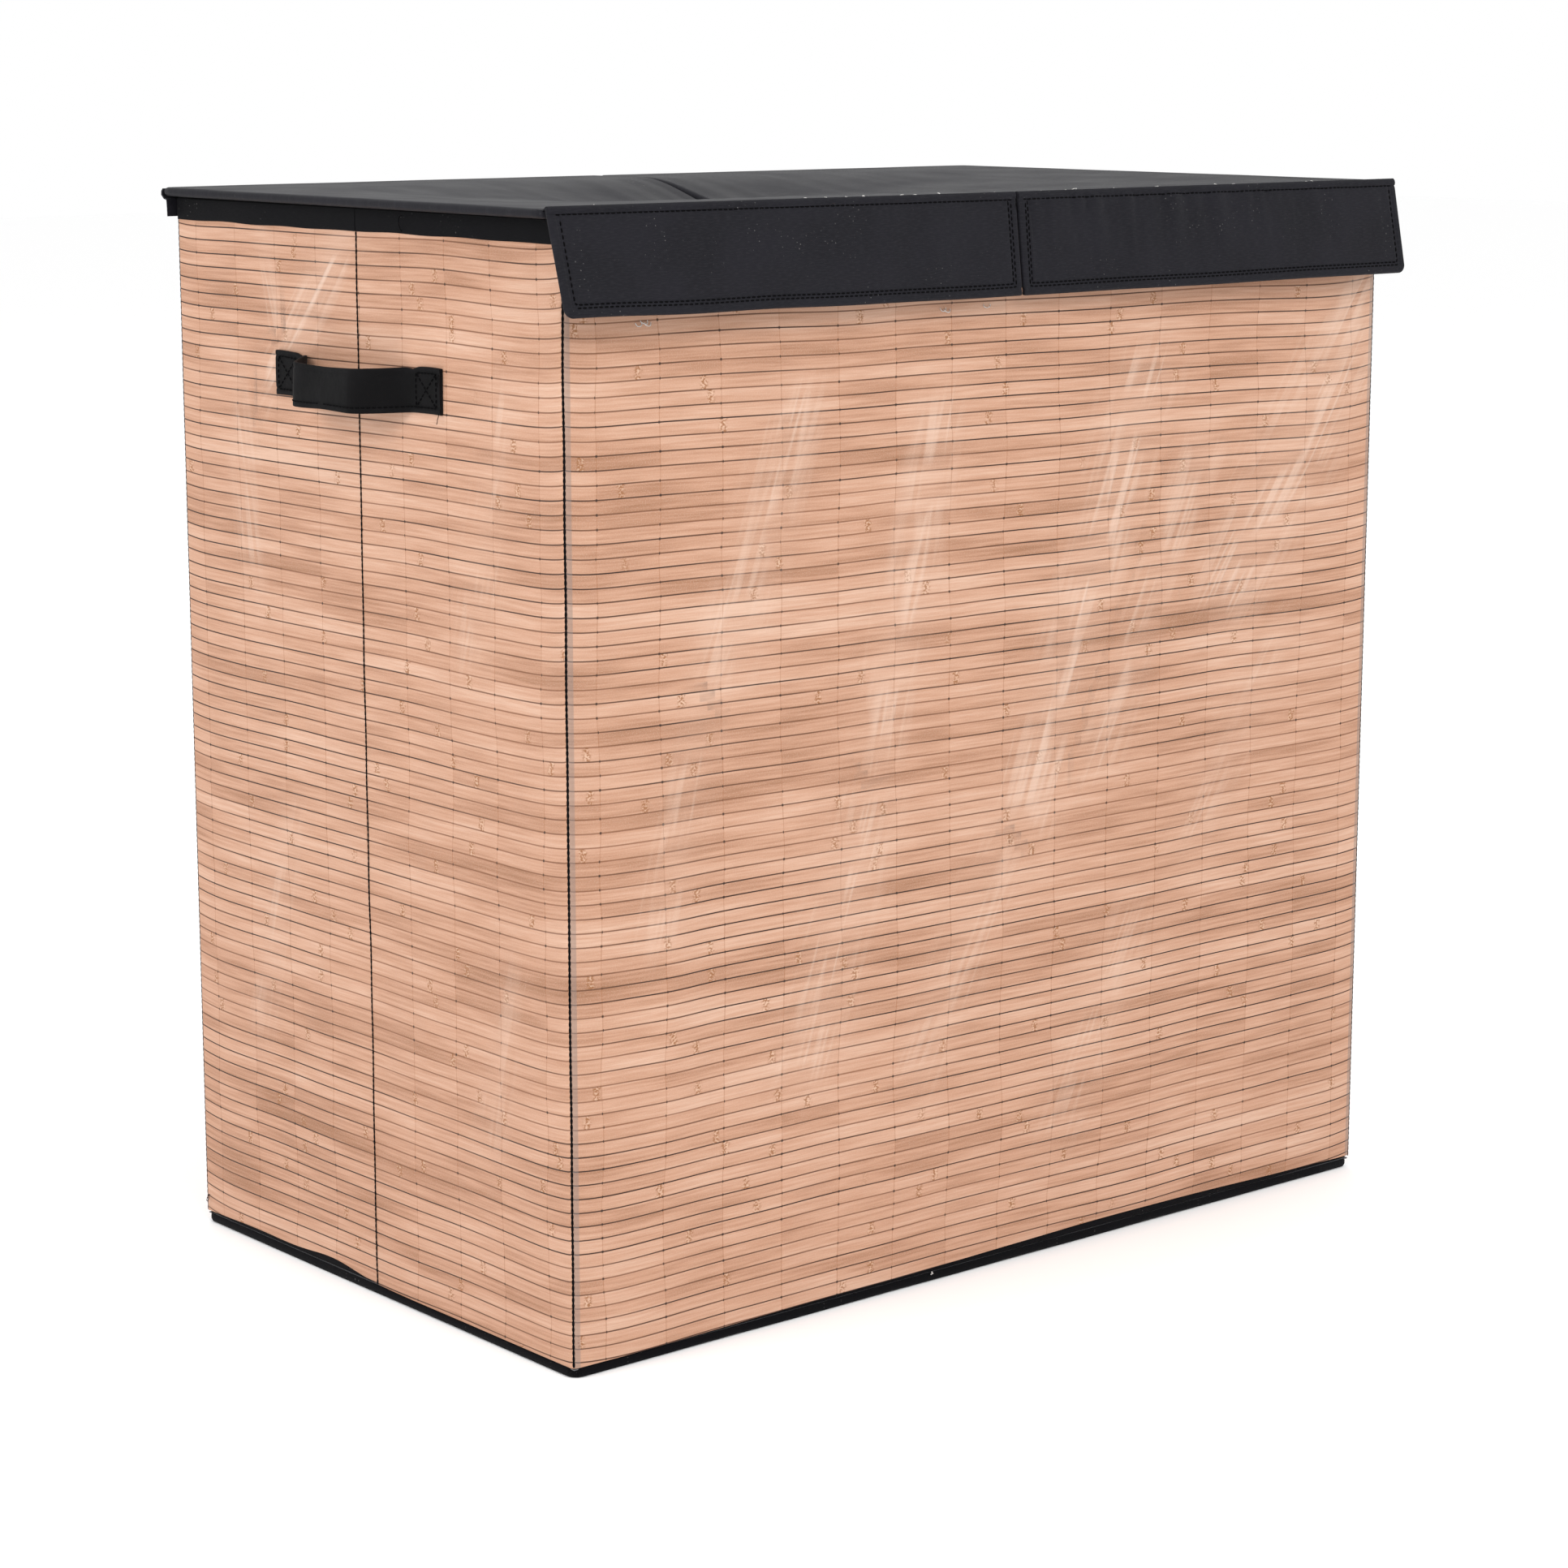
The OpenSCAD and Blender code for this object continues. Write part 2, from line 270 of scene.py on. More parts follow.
def cardboard():
    """Brown stiffening board with faint flutes under its paper face."""
    f = Finish("cardboard", Specular_IOR_Level=0.25)
    flute = (f.u * (2 * math.pi / (6.5 * MM))).sine()
    fibre = f.noise(f.u * 160, f.v * 900, 4.0)
    cloudy = f.noise(f.u * 9, f.v * 9, 2.0)
    fleck = f.noise(f.u * 700, f.v * 500, 0.0).ramp(0.72, 0.8)
    shade = f.mix(cloudy, (0.34, 0.225, 0.13), (0.42, 0.29, 0.175))
    shade = f.mix(fibre.ramp(0.35, 0.75) * 0.4, shade, (0.27, 0.17, 0.095))
    shade = f.mix(fleck * 0.6, shade, (0.16, 0.1, 0.06))
    height = flute * (0.03 * MM) + fibre * (0.04 * MM)
    return f.done(shade, 0.8 + fibre * 0.12, height)


BLACK_CLOTH = black_cloth("black_cloth", 1.0, 0.1)
# A copy of the black cloth at 0.28 of its shades, darkened as painted shade, for the base tray, the top
# bindings and the strip at the bottom of the walls
SHADED_BLACK_CLOTH = black_cloth("shaded_black_cloth", 0.28, 0.035)
LINING_CLOTH = lining_cloth()
CARDBOARD = cardboard()


def add_piece(name, points, faces, uvs, material, slot, sharp=40):
    """A closed mesh with outward faces and a UV for each of its points."""
    points = np.asarray(points, float)
    fans = np.array([(face[0], face[i], face[i + 1]) for face in faces for i in range(1, len(face) - 1)])
    first, second, third = (points[fans[:, k]] for k in range(3))
    volume = (first * np.cross(second, third)).sum()
    mesh = bpy.data.meshes.new(name)
    mesh.from_pydata(points.tolist(), [], [face[::-1] if volume < 0 else face for face in faces])
    layer = mesh.uv_layers.new(name="cloth")
    corners = np.empty(len(mesh.loops), np.int32)
    mesh.loops.foreach_get("vertex_index", corners)
    layer.data.foreach_set("uv", np.asarray(uvs, np.float32)[corners].ravel())
    mesh.shade_smooth()
    mesh.set_sharp_from_angle(angle=math.radians(sharp))
    mesh.materials.append(material)
    piece = bpy.data.objects.new(name, mesh)
    scene.collection.objects.link(piece)
    return piece


def slab_mesh(us, vs, front, back, uv=None):
    """Points, faces and UVs of a closed slab whose two faces share one grid.
    front, back and uv are functions of two arrays."""
    u, v = np.meshgrid(us, vs, indexing="ij")
    count = u.size
    at = np.arange(count).reshape(u.shape)
    quads = np.stack([at[:-1, :-1], at[1:, :-1], at[1:, 1:], at[:-1, 1:]], -1).reshape(-1, 4)
    rim = np.concatenate([at[:, 0], at[-1, 1:], at[-2::-1, -1], at[0, -2:0:-1]])
    after = np.roll(rim, -1)
    edge = np.stack([after, rim, rim + count, after + count], -1)
    faces = np.concatenate([quads, quads[:, ::-1] + count, edge])
    points = np.concatenate([front(u, v).reshape(-1, 3), back(u, v).reshape(-1, 3)])
    flat = np.stack(uv(u, v) if uv else (u, v), -1).reshape(-1, 2)
    return points, faces.tolist(), np.concatenate([flat, flat])


def add_slab(name, us, vs, front, back, material, slot, uv=None):
    return add_piece(name, *slab_mesh(us, vs, front, back, uv), material, slot)


def loft_mesh(rings, around, along):
    """Points, faces and UVs of a solid through closed rings, capped at both ends.
    around and along are the UVs of a ring's points and of the rings."""
    rings = np.asarray(rings, float)
    n, m = rings.shape[:2]
    at = np.arange(n * m).reshape(n, m)
    turned = np.roll(at, -1, axis=1)
    sides = np.stack([at[:-1], turned[:-1], turned[1:], at[1:]], -1).reshape(-1, 4)
    uvs = np.stack(np.meshgrid(along, around, indexing="ij"), -1).reshape(-1, 2)
    return rings.reshape(-1, 3), sides.tolist() + [at[0, ::-1].tolist(), at[-1].tolist()], uvs


def join_meshes(parts):
    """One set of points, faces and UVs from several."""
    points, faces, uvs, count = [], [], [], 0
    for some_points, some_faces, some_uvs in parts:
        points.append(some_points)
        uvs.append(some_uvs)
        faces += [[i + count for i in face] for face in some_faces]
        count += len(some_points)
    return np.concatenate(points), faces, np.concatenate(uvs)


def spaced(start, end, step):
    """Even steps from start to end, both included."""
    return np.linspace(start, end, max(2, round(abs(end - start) / step) + 1))


def ripple(a, b, seed, size=1.0):
    """Smooth unevenness from -1 to 1 over two lengths, with grains of a size in metres."""
    r = np.random.default_rng(seed)
    total = 0
    waves = 5
    for _ in range(waves):
        turn = r.uniform(0, 2 * math.pi)
        frequency = 2 * math.pi / (size * r.uniform(0.7, 1.6))
        total = total + np.sin((a * math.cos(turn) + b * math.sin(turn)) * frequency + r.uniform(0, 6.3))
    return total / waves


base_low, base_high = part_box("base_cover")
lining_low, lining_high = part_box("base_lining")
base_h = base_high.z
tray_cloth = lining_low.x - base_low.x
tray_corner = 7 * MM
tray_lip = 12 * MM
edge_round = 2.2 * MM
ring_step = 20 * MM


def base_ring(inset, z, wave=0.0):
    """A ring round the base with round corners, at a distance in from its edge."""
    half_x, half_y = base_high.x - inset, base_high.y - inset
    radius = max(tray_corner - inset, 1 * MM)
    ring = []
    for quarter, (sign_x, sign_y) in enumerate([(1, -1), (1, 1), (-1, 1), (-1, -1)]):
        turn = (quarter - 1) * math.pi / 2
        for angle in np.linspace(turn, turn + math.pi / 2, 7):
            ring.append((sign_x * (half_x - radius) + radius * math.cos(angle),
                         sign_y * (half_y - radius) + radius * math.sin(angle)))
    ring = np.array(ring)
    steps = np.roll(ring, -1, axis=0) - ring
    fine = []
    for corner, step in zip(ring, steps):
        count = max(1, round(np.linalg.norm(step) / ring_step))
        fine += [corner + step * share for share in np.arange(0, 1, 1 / count)]
    fine = np.array(fine)
    heights = z + wave * ripple(fine[:, 0], fine[:, 1], 3, 0.12)
    return np.column_stack([fine, heights])


# Section of the tray, from under the base round its edge and in again: inset and height
tray_profile = [(tray_lip, 0), (edge_round, 0), (0.7 * MM, 0.5 * MM), (0, 1.8 * MM), (0, 3.4 * MM),
                (0.2 * MM, base_h - 0.7 * MM), (0.6 * MM, base_h - 0.1 * MM),
                (tray_cloth, base_h - 0.4 * MM), (tray_cloth, tray_cloth), (tray_lip, tray_cloth)]
tray_rings = [base_ring(inset, z, 0.3 * MM if 0 < z < base_h - 1 * MM and inset < 1 * MM else 0)
              for inset, z in tray_profile]
tray_along = [tray_lip - abs(i - 4) * 2 * MM for i in range(len(tray_profile))]
tray_around = np.arange(len(tray_rings[0])) * ring_step
# The tray's cloth is the black cloth darkened as painted shade.
base_cover = add_piece("base_tray", *loft_mesh(tray_rings, tray_around, tray_along), SHADED_BLACK_CLOTH,
                       "black_cloth")
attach(base_cover, "rear_wall")
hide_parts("base_cover")

lining_inset = 0.3 * MM
base_board_inset = 4 * MM


def base_lining_face(level):
    """The lining's upper face at level 1, or its lower face at level 0."""
    def face(x, y):
        dip = 0.25 * MM * (1 + ripple(x, y, 5, 0.09)) * level
        return np.stack([x, y, lining_low.z + (lining_high.z - lining_low.z) * level - dip], -1)
    return face


base_lining = add_slab(
    "base_lining_cloth",
    spaced(lining_low.x + lining_inset, lining_high.x - lining_inset, 12 * MM),
    spaced(lining_low.y + lining_inset, lining_high.y - lining_inset, 12 * MM),
    base_lining_face(1), base_lining_face(0), LINING_CLOTH, "lining_cloth")
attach(base_lining, "rear_wall")
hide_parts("base_lining")

base_board = add_slab(
    "base_stiffener",
    spaced(lining_low.x + base_board_inset, lining_high.x - base_board_inset, 50 * MM),
    spaced(lining_low.y + base_board_inset, lining_high.y - base_board_inset, 50 * MM),
    lambda x, y: np.stack([x, y, 0 * x + lining_low.z - 0.5 * MM], -1),
    lambda x, y: np.stack([x, y, 0 * x + tray_cloth], -1), CARDBOARD, "board")
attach(base_board, "rear_wall")
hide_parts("base_board")

# ---- Wall panels ----
# Each of the six wall panels is a stiff board between an outer cloth, printed as
# split bamboo, and a lining. A black binding is sewn over the top edge, and a black
# strip stands inside the cloth's bottom edge and shows below it where the cloth is lifted;
# both are in black cloth darkened as painted shade. The cloth is looser than the board and is creased.

slat_pitch = 7.37 * MM
thread_pitch = 40 * MM
print_low, print_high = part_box("front_wall_print")
board_low, board_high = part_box("front_wall_board")
side_low, side_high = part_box("left_front_print")
binding_low, binding_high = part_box("front_wall_binding")
half_w, half_d = print_high.x, -print_low.y
print_t = print_high.y - print_low.y
board_t = board_high.y - board_low.y
wall_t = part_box("front_wall_lining")[1].y - print_low.y
panel_z, binding_z, wall_top = print_low.z, binding_low.z, binding_high.z
corner_r = 3 * MM

# Places round the walls are distances to the right from the middle of the front. These are
# the places of the corners, and then each wall's start, its heading and its outward side,
# for the left, front, right and rear walls
front_s, rear_s = -half_w, half_w + 2 * half_d
rear_end_s = rear_s + 2 * half_w
rear_middle = rear_s + half_w
corner_s = np.array([-rear_s, front_s, half_w, rear_s, rear_end_s])
wall_start = np.array([(-half_w, half_d), (-half_w, -half_d), (half_w, -half_d), (half_w, half_d)])
wall_along = np.array([(0, -1), (1, 0), (0, 1), (-1, 0)])
wall_out = np.array([(-1, 0), (0, -1), (1, 0), (0, 1)])


def wall_point(s, out, z):
    """The point at a distance s round the walls, a distance out from their face."""
    s, out, z = np.broadcast_arrays(s, out, z)
    k = np.clip(np.searchsorted(corner_s, s, side="right") - 1, 0, 3)
    before, after = s - corner_s[k], corner_s[k + 1] - s
    turn = np.clip(1 - after / corner_r, 0, 1) - np.clip(1 - before / corner_r, 0, 1)
    angle = (math.pi / 4 * turn)[..., None]
    straight = np.clip(before, corner_r, corner_s[k + 1] - corner_s[k] - corner_r)[..., None]
    centre = wall_start[k] + wall_along[k] * straight - wall_out[k] * corner_r
    heading = wall_out[k] * np.cos(angle) + wall_along[k] * np.sin(angle)
    plan = centre + heading * (corner_r + out)[..., None]
    return np.concatenate([plan, z[..., None]], -1)


def hump(value, middle, spread):
    """1 at the middle, falling smoothly to nothing on both sides."""
    return np.exp(-((value - middle) / spread) ** 2)


def corner_distance(s):
    """How far a place round the walls is from the nearest corner."""
    return np.min([abs(s - corner) for corner in corner_s], axis=0)


# The binding holds the cloth flat above this height
swell_top = 545 * MM

# Soft swells of the walls: place round them, height, the two spreads and how many mm out
swells = [
    (-0.10, 0.20, 0.10, 0.11, 3.5), (0.11, 0.30, 0.08, 0.15, 3.0), (-0.235, 0.19, 0.022, 0.09, 2.6),
    (0.235, 0.42, 0.03, 0.09, 2.6), (0.02, 0.08, 0.12, 0.05, 2.4), (-0.18, 0.42, 0.05, 0.1, 1.8),
    (0.03, 0.44, 0.035, 0.07, 1.6), (0.22, 0.12, 0.04, 0.08, 2.0),
    (0.85, 0.25, 0.1, 0.15, 1.6), (1.1, 0.3, 0.08, 0.16, 1.4), (0.11, 0.02, 0.14, 0.008, 1.8),
    (-0.57, 0.02, 0.06, 0.006, 0.8), (0.27, 0.5, 0.02, 0.06, 1.5), (0.14, 0.4, 0.03, 0.14, 1.6),
]


def bulge(s, z):
    """How far the whole wall stands out from its flat face."""
    total = 0.35 * MM * (1 + ripple(s, z * 0.7, 11, 0.11))
    for middle_s, middle_z, spread_s, spread_z, far in swells:
        total = total + far * MM * hump(s, middle_s, spread_s) * hump(z, middle_z, spread_z)
    slack = np.clip((swell_top - z) / (60 * MM), 0, 1)
    return total * (0.15 + 0.85 * slack) * np.clip(corner_distance(s) / (30 * MM), 0, 1)


def print_height(s, z):
    """Height in the printed pattern of the cloth at a place on the wall."""
    slack = 1.6 * MM * ripple(s, z * 0.35, 21, 0.21) + 0.3 * MM * ripple(s, z, 22, 0.09)
    return z + slack - 2.6 * MM * np.exp(-corner_distance(s) / 0.014)


# Bottom edge of the cloth: middle, spread and how many mm it is lifted
lifts = [(0.10, 0.17, 4.4), (-0.15, 0.07, 1.0), (-0.60, 0.055, 2.4), (-0.525, 0.03, 4.0),
         (0.55, 0.06, 2.0), (0.95, 0.15, 2.4)]


def cloth_bottom(s):
    """Height of the cloth's bottom edge at a place round the walls."""
    return panel_z + sum(far * MM * hump(s, middle, spread) for middle, spread, far in lifts)


# Families of creases, which are also painted lighter as painted highlight: where each runs from and to, and
# how wide and strong it is
creases = [
    ((-0.150, 0.490), (-0.200, 0.365), 0.017, 0.8), ((-0.050, 0.480), (-0.094, 0.300), 0.016, 0.8),
    ((0.108, 0.495), (0.020, 0.265), 0.022, 1.0), ((0.150, 0.450), (0.070, 0.290), 0.018, 0.7),
    ((0.290, 0.530), (0.175, 0.370), 0.028, 0.9), ((0.225, 0.340), (0.150, 0.230), 0.016, 0.4),
    ((-0.098, 0.285), (-0.145, 0.145), 0.020, 0.7), ((0.000, 0.240), (-0.060, 0.130), 0.018, 0.5),
    ((-0.215, 0.340), (-0.240, 0.240), 0.014, 0.6), ((0.100, 0.180), (0.050, 0.080), 0.018, 0.4),
    ((-0.492, 0.584), (-0.560, 0.505), 0.013, 1.25), ((-0.572, 0.582), (-0.556, 0.520), 0.007, 0.7),
    ((-0.60, 0.50), (-0.59, 0.40), 0.012, 0.5), ((-0.35, 0.5), (-0.38, 0.38), 0.014, 0.5),
    ((-0.35, 0.2), (-0.37, 0.12), 0.012, 0.4), ((-0.56, 0.25), (-0.59, 0.15), 0.014, 0.4),
    ((0.42, 0.5), (0.4, 0.38), 0.014, 0.6), ((0.56, 0.4), (0.53, 0.3), 0.014, 0.6),
    ((0.8, 0.5), (0.76, 0.36), 0.018, 0.7), ((1.02, 0.42), (0.95, 0.25), 0.02, 0.8),
    ((1.15, 0.3), (1.12, 0.2), 0.016, 0.6),
]


def crease_field(s, z):
    """For each point: distance across and along its nearest crease, and how creased it
    is, which is nothing midway between two creases."""
    fields = []
    for number, (top, bottom, width, strength) in enumerate(creases):
        run = np.array(top) - np.array(bottom)
        length = np.hypot(*run)
        along = ((s - bottom[0]) * run[0] + (z - bottom[1]) * run[1]) / length
        across = ((s - bottom[0]) * run[1] - (z - bottom[1]) * run[0]) / length
        past = np.maximum(0, np.maximum(-along, along - length))
        mask = strength * np.exp(-(across / width) ** 2 - (past / 0.02) ** 2)
        fields.append(np.stack([across + number, along, mask], -1))
    fields = np.stack(fields)
    order = np.argsort(fields[..., 2], axis=0)
    nearest, second = (np.take_along_axis(fields, order[k][None, ..., None], axis=0)[0] for k in (-1, -2))
    nearest[..., 2] -= second[..., 2]
    return nearest


def printed_bamboo():
    """Cloth printed as thin bamboo slats, tied with upright threads. Its creases carry painted highlights and
    its weave a painted sparkle of sheen.
    """
    f = Finish("printed_bamboo", Specular_IOR_Level=0.35, Sheen_Weight=0.08, Sheen_Roughness=0.4)
    wander = (f.noise(f.u * 9, f.v * 5) - 0.5) * (0.8 * MM)
    slats = (f.v + wander) * (1 / slat_pitch)
    row = slats.whole()
    line_row = (slats + 0.5).whole()
    from_middle = abs(slats.part() - 0.5)
    weft = (f.u + (f.noise(f.u * 3 + 5, f.v * 18) - 0.5) * (5 * MM)) * (1 / thread_pitch)
    tile = weft.whole()
    thread_gap = 0.5 - abs(weft.part() - 0.5)

    drift = f.noise(f.u * 4.5 + 3.1, f.v * 32, 2.0)
    band = f.noise(f.u * 3, f.v * 70 + 4.0, 1.0)
    slat = f.noise(f.u * 8, row * 3.7, 2.0)
    streak = f.noise(f.u * 22, f.v * 650, 2.0)
    tone = drift * 0.29 + band * 0.29 + slat * 0.28 + streak * 0.3 + f.pick(row, tile) * 0.08 - 0.11
    stops = [(0.30, (0.30, 0.145, 0.078)), (0.42, (0.405, 0.212, 0.13)), (0.50, (0.485, 0.268, 0.173)),
             (0.58, (0.535, 0.312, 0.212)), (0.70, (0.60, 0.385, 0.28))]
    colour = f.node("ValToRGB", {"stops": stops}, {0: tone})

    grain = f.noise(f.u * 60, f.v * 2300, 3.0)
    colour = f.mix(grain.ramp(0.35, 0.75) * 0.22, colour, (0.34, 0.165, 0.09))
    weave = f.noise(f.u * 1500, f.v * 1500, 0.0)
    # The fine weave noise is painted lighter in spots here, as a painted sparkle of sheen on the weave.
    colour = f.mix(weave.ramp(0.55, 0.8) * 0.2, colour, (0.6, 0.44, 0.345))

    cell = f.u * (1 / 0.115) + f.pick(row, 3.0) * 9
    place = f.pick(cell.whole(), row + 40) * 0.7 + 0.15
    ragged = f.noise(f.u * 200, f.v * 420, 1.0) * (3.2 * MM)
    from_mark = abs(cell.part() - place) * 0.115 + ragged
    speckle = f.noise(f.u * 650, f.v * 900, 2.0)
    chosen = f.pick(cell.whole() + 11, row).ramp(0.56, 0.6)
    mark = from_mark.ramp(5.2 * MM, 2.2 * MM) * chosen
    colour = f.mix(mark * speckle.ramp(0.47, 0.58) * 0.85, colour, (0.26, 0.105, 0.034))
    colour = f.mix(mark * speckle.ramp(0.44, 0.32) * 0.5, colour, (0.66, 0.48, 0.34))

    thread = thread_gap.ramp(0.0105, 0.003) * (0.2 + f.pick(tile, row + 9) * 0.4)
    colour = f.mix(thread, colour, (0.3, 0.115, 0.045))
    region = f.noise(f.u * 4 + 2, f.v * 9, 1.0)
    darkness = f.pick(line_row, 1.0) * 0.25 + f.noise(f.u * 14, line_row * 5.3, 2.0) * 0.4 + region * 0.9
    inked = from_middle.ramp(0.5 - 0.062, 0.5 - 0.022) * darkness.ramp(0.5, 0.92)
    faint = from_middle.ramp(0.5 - 0.072, 0.5 - 0.028) * 0.7
    colour = f.mix(faint, colour, (0.15, 0.05, 0.016))
    colour = f.mix(inked, colour, (0.018, 0.006, 0.003))
    knotted = f.pick(tile, line_row).ramp(0.3, 0.6)
    tick = thread_gap.ramp(0.022, 0.008) * from_middle.ramp(0.38, 0.43) * knotted
    colour = f.mix(tick * 0.85, colour, (0.02, 0.009, 0.005))

    front_gap = half_w - abs(f.u)
    rear_gap = half_w - abs(f.u - rear_middle)
    margin = front_gap.ramp(0, 0.3 * MM) * front_gap.ramp(4.8 * MM, 4.2 * MM)
    margin = margin + rear_gap.ramp(0, 0.3 * MM) * rear_gap.ramp(4.8 * MM, 4.2 * MM)
    colour = f.mix(margin * 0.5, colour, (0.2, 0.165, 0.15))

    field = f.node("Attribute", {"attribute_name": "crease"}, {}, 1)
    across = f.node("SeparateXYZ", {}, {0: field}, 0)
    along = f.node("SeparateXYZ", {}, {0: field}, 1)
    creased = f.node("SeparateXYZ", {}, {0: field}, 2)
    fine = 1 - abs(f.noise(across * 130 + along * 3, along * 7, 1.0) - 0.5) * 2
    ridge = fine.ramp(0.66, 1.0) * f.noise(across * 50, along * 24 + 3, 1.0).ramp(0.36, 0.62) * creased
    # The creases are painted lighter, broadly over each crease and most along its fine ridges, as painted
    # highlight.
    colour = f.mix(creased * 0.12 + ridge * 0.36, colour, (0.7, 0.53, 0.43))

    rumple = f.noise((f.u - f.v * 0.33) * 22 + 9, f.v * 6, 2.0)
    height = rumple * (2.4 * MM) + ridge * (0.35 * MM) + weave * (0.03 * MM) - inked * (0.05 * MM)
    roughness = 0.64 - ridge * 0.12 - creased * 0.05 + weave * 0.1
    return f.done(colour, roughness, height)


PRINTED_BAMBOO = printed_bamboo()
cloth_step = 5 * MM
inner_step = 10 * MM
print_tuck = 4 * MM
bottom_strip_top = panel_z + 8.5 * MM


def wall_face(depth, loose=lambda s, z: 0):
    """A face of the wall at a depth in from its outer face, over grids of s and z. Loose
    is how much further out the cloth lies there."""
    return lambda s, z: wall_point(s, bulge(s, z) - depth + loose(s, z), z)


def add_print(name, start, end):
    """The printed cloth of one panel, with its crease field."""
    def height(s, share):
        return cloth_bottom(s) + (binding_z + print_tuck - cloth_bottom(s)) * share

    def face(depth):
        return lambda s, share: wall_face(depth)(s, height(s, share))

    rows = spaced(0, 1, cloth_step / (binding_z - panel_z))
    columns = np.unique(np.concatenate([spaced(start, end, cloth_step)] + [
        spaced(max(start, c - corner_r), min(end, c + corner_r), corner_r / 4)
        for c in corner_s if start - corner_r < c < end + corner_r]).round(6))
    piece = add_slab(name, columns, rows, face(0), face(print_t), PRINTED_BAMBOO, "printed_cloth",
                     lambda s, share: (s, print_height(s, height(s, share))))
    s, share = np.meshgrid(columns, rows, indexing="ij")
    field = crease_field(s, height(s, share)).reshape(-1, 3)
    crease = piece.data.attributes.new("crease", "FLOAT_VECTOR", "POINT")
    crease.data.foreach_set("vector", np.concatenate([field, field]).astype(np.float32).ravel())
    return piece


def add_layer(name, start, end, bottom, top, depth, thick, material, slot, seed=None):
    """A flat layer of one panel, such as its board, that follows the wall's bulge. The
    inner face of a layer that has a seed is uneven."""
    def loose(s, z):
        return 0.12 * MM * (1 - ripple(s, z, seed, 0.08)) if seed else 0

    return add_slab(name, spaced(start, end, inner_step), spaced(bottom, top, inner_step),
                    wall_face(depth), wall_face(depth + thick, loose), material, slot)


def add_strip(name, start, end, profile, material, slot, step=6 * MM):
    """A strip along the wall, whose section is a list of (out, z) points."""
    stations = np.unique(np.concatenate([spaced(start, end, step)] + [
        spaced(max(start, c - corner_r), min(end, c + corner_r), corner_r / 3)
        for c in corner_s if start - corner_r < c < end + corner_r]).round(6))
    rings = []
    for s in stations:
        out, z = np.array(profile(s)).T
        rings.append(wall_point(np.full(len(out), s), out + bulge(s, z), z))
    legs = np.hypot(*np.diff(profile(start), axis=0).T)
    around = np.concatenate([[0], np.cumsum(legs)])
    return add_piece(name, *loft_mesh(rings, around, stations), material, slot)


def binding_section(s):
    """Section of the binding: its outer leg, its top and its inner leg."""
    low = binding_z - 0.7 * MM - 0.5 * MM * ripple(s, 0, 31, 0.06)
    outer = 0.6 * MM
    inner = -wall_t + 0.8 * MM
    fold = wall_top - 1.2 * MM
    return [(0.05 * MM, low), (outer, low + 0.1 * MM), (outer + 0.1 * MM, low + 3 * MM),
            (outer, wall_top - 3 * MM), (outer - 0.1 * MM, wall_top - 1.1 * MM),
            (-0.6 * MM, wall_top - 0.2 * MM), (-wall_t / 2, wall_top),
            (-wall_t + 0.6 * MM, wall_top - 0.2 * MM), (-wall_t, fold), (-wall_t, binding_z),
            (inner, binding_z), (inner, fold), (-print_t, fold), (0.05 * MM, wall_top - 2 * MM)]


def bottom_strip_section(s):
    """Section of the black strip inside the bottom of the cloth, which is the same all along."""
    outer, inner = -0.9 * MM, -1.9 * MM
    return [(outer, panel_z), (outer, bottom_strip_top), (inner, bottom_strip_top), (inner, panel_z)]


middle_gap = -side_high.y
side_end = -side_low.y
corner_gap = half_d - side_end
inner_inset = corner_r + 0.5 * MM
middle_s = half_w + half_d

# Panel: its body, the wall that its cloth is sewn to at a corner, the start and end of its
# cloth, and the start and end of its inner layers
panels = {
    "front_wall": ("front_wall", None, front_s, half_w + corner_gap - 0.3 * MM,
                   front_s + inner_inset, half_w - inner_inset),
    "rear_wall": ("rear_wall", None, rear_s, rear_end_s, rear_s + inner_inset, rear_end_s - inner_inset),
    "left_front": ("left_side_front", "front_wall", -middle_s + middle_gap, front_s,
                   -middle_s + middle_gap, front_s - corner_gap),
    "left_rear": ("left_side_rear", "rear_wall", -rear_s, -middle_s - middle_gap,
                  -rear_s + corner_gap, -middle_s - middle_gap),
    "right_front": ("right_side_front", None, half_w + corner_gap, middle_s - middle_gap,
                    half_w + corner_gap, middle_s - middle_gap),
    "right_rear": ("right_side_rear", "rear_wall", middle_s + middle_gap, rear_s,
                   middle_s + middle_gap, rear_s - corner_gap),
}


def sew(piece, body, wall):
    """Rides the piece on its body, or, for a piece sewn round a corner to a wall, only fixes its place into
    its points.
    """
    if wall is None:
        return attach(piece, body)
    side = -1 if wall == "front_wall" else 1
    wall_y, side_y = side * (half_d - 1 * MM), side * (side_end - 1 * MM)
    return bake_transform(piece)


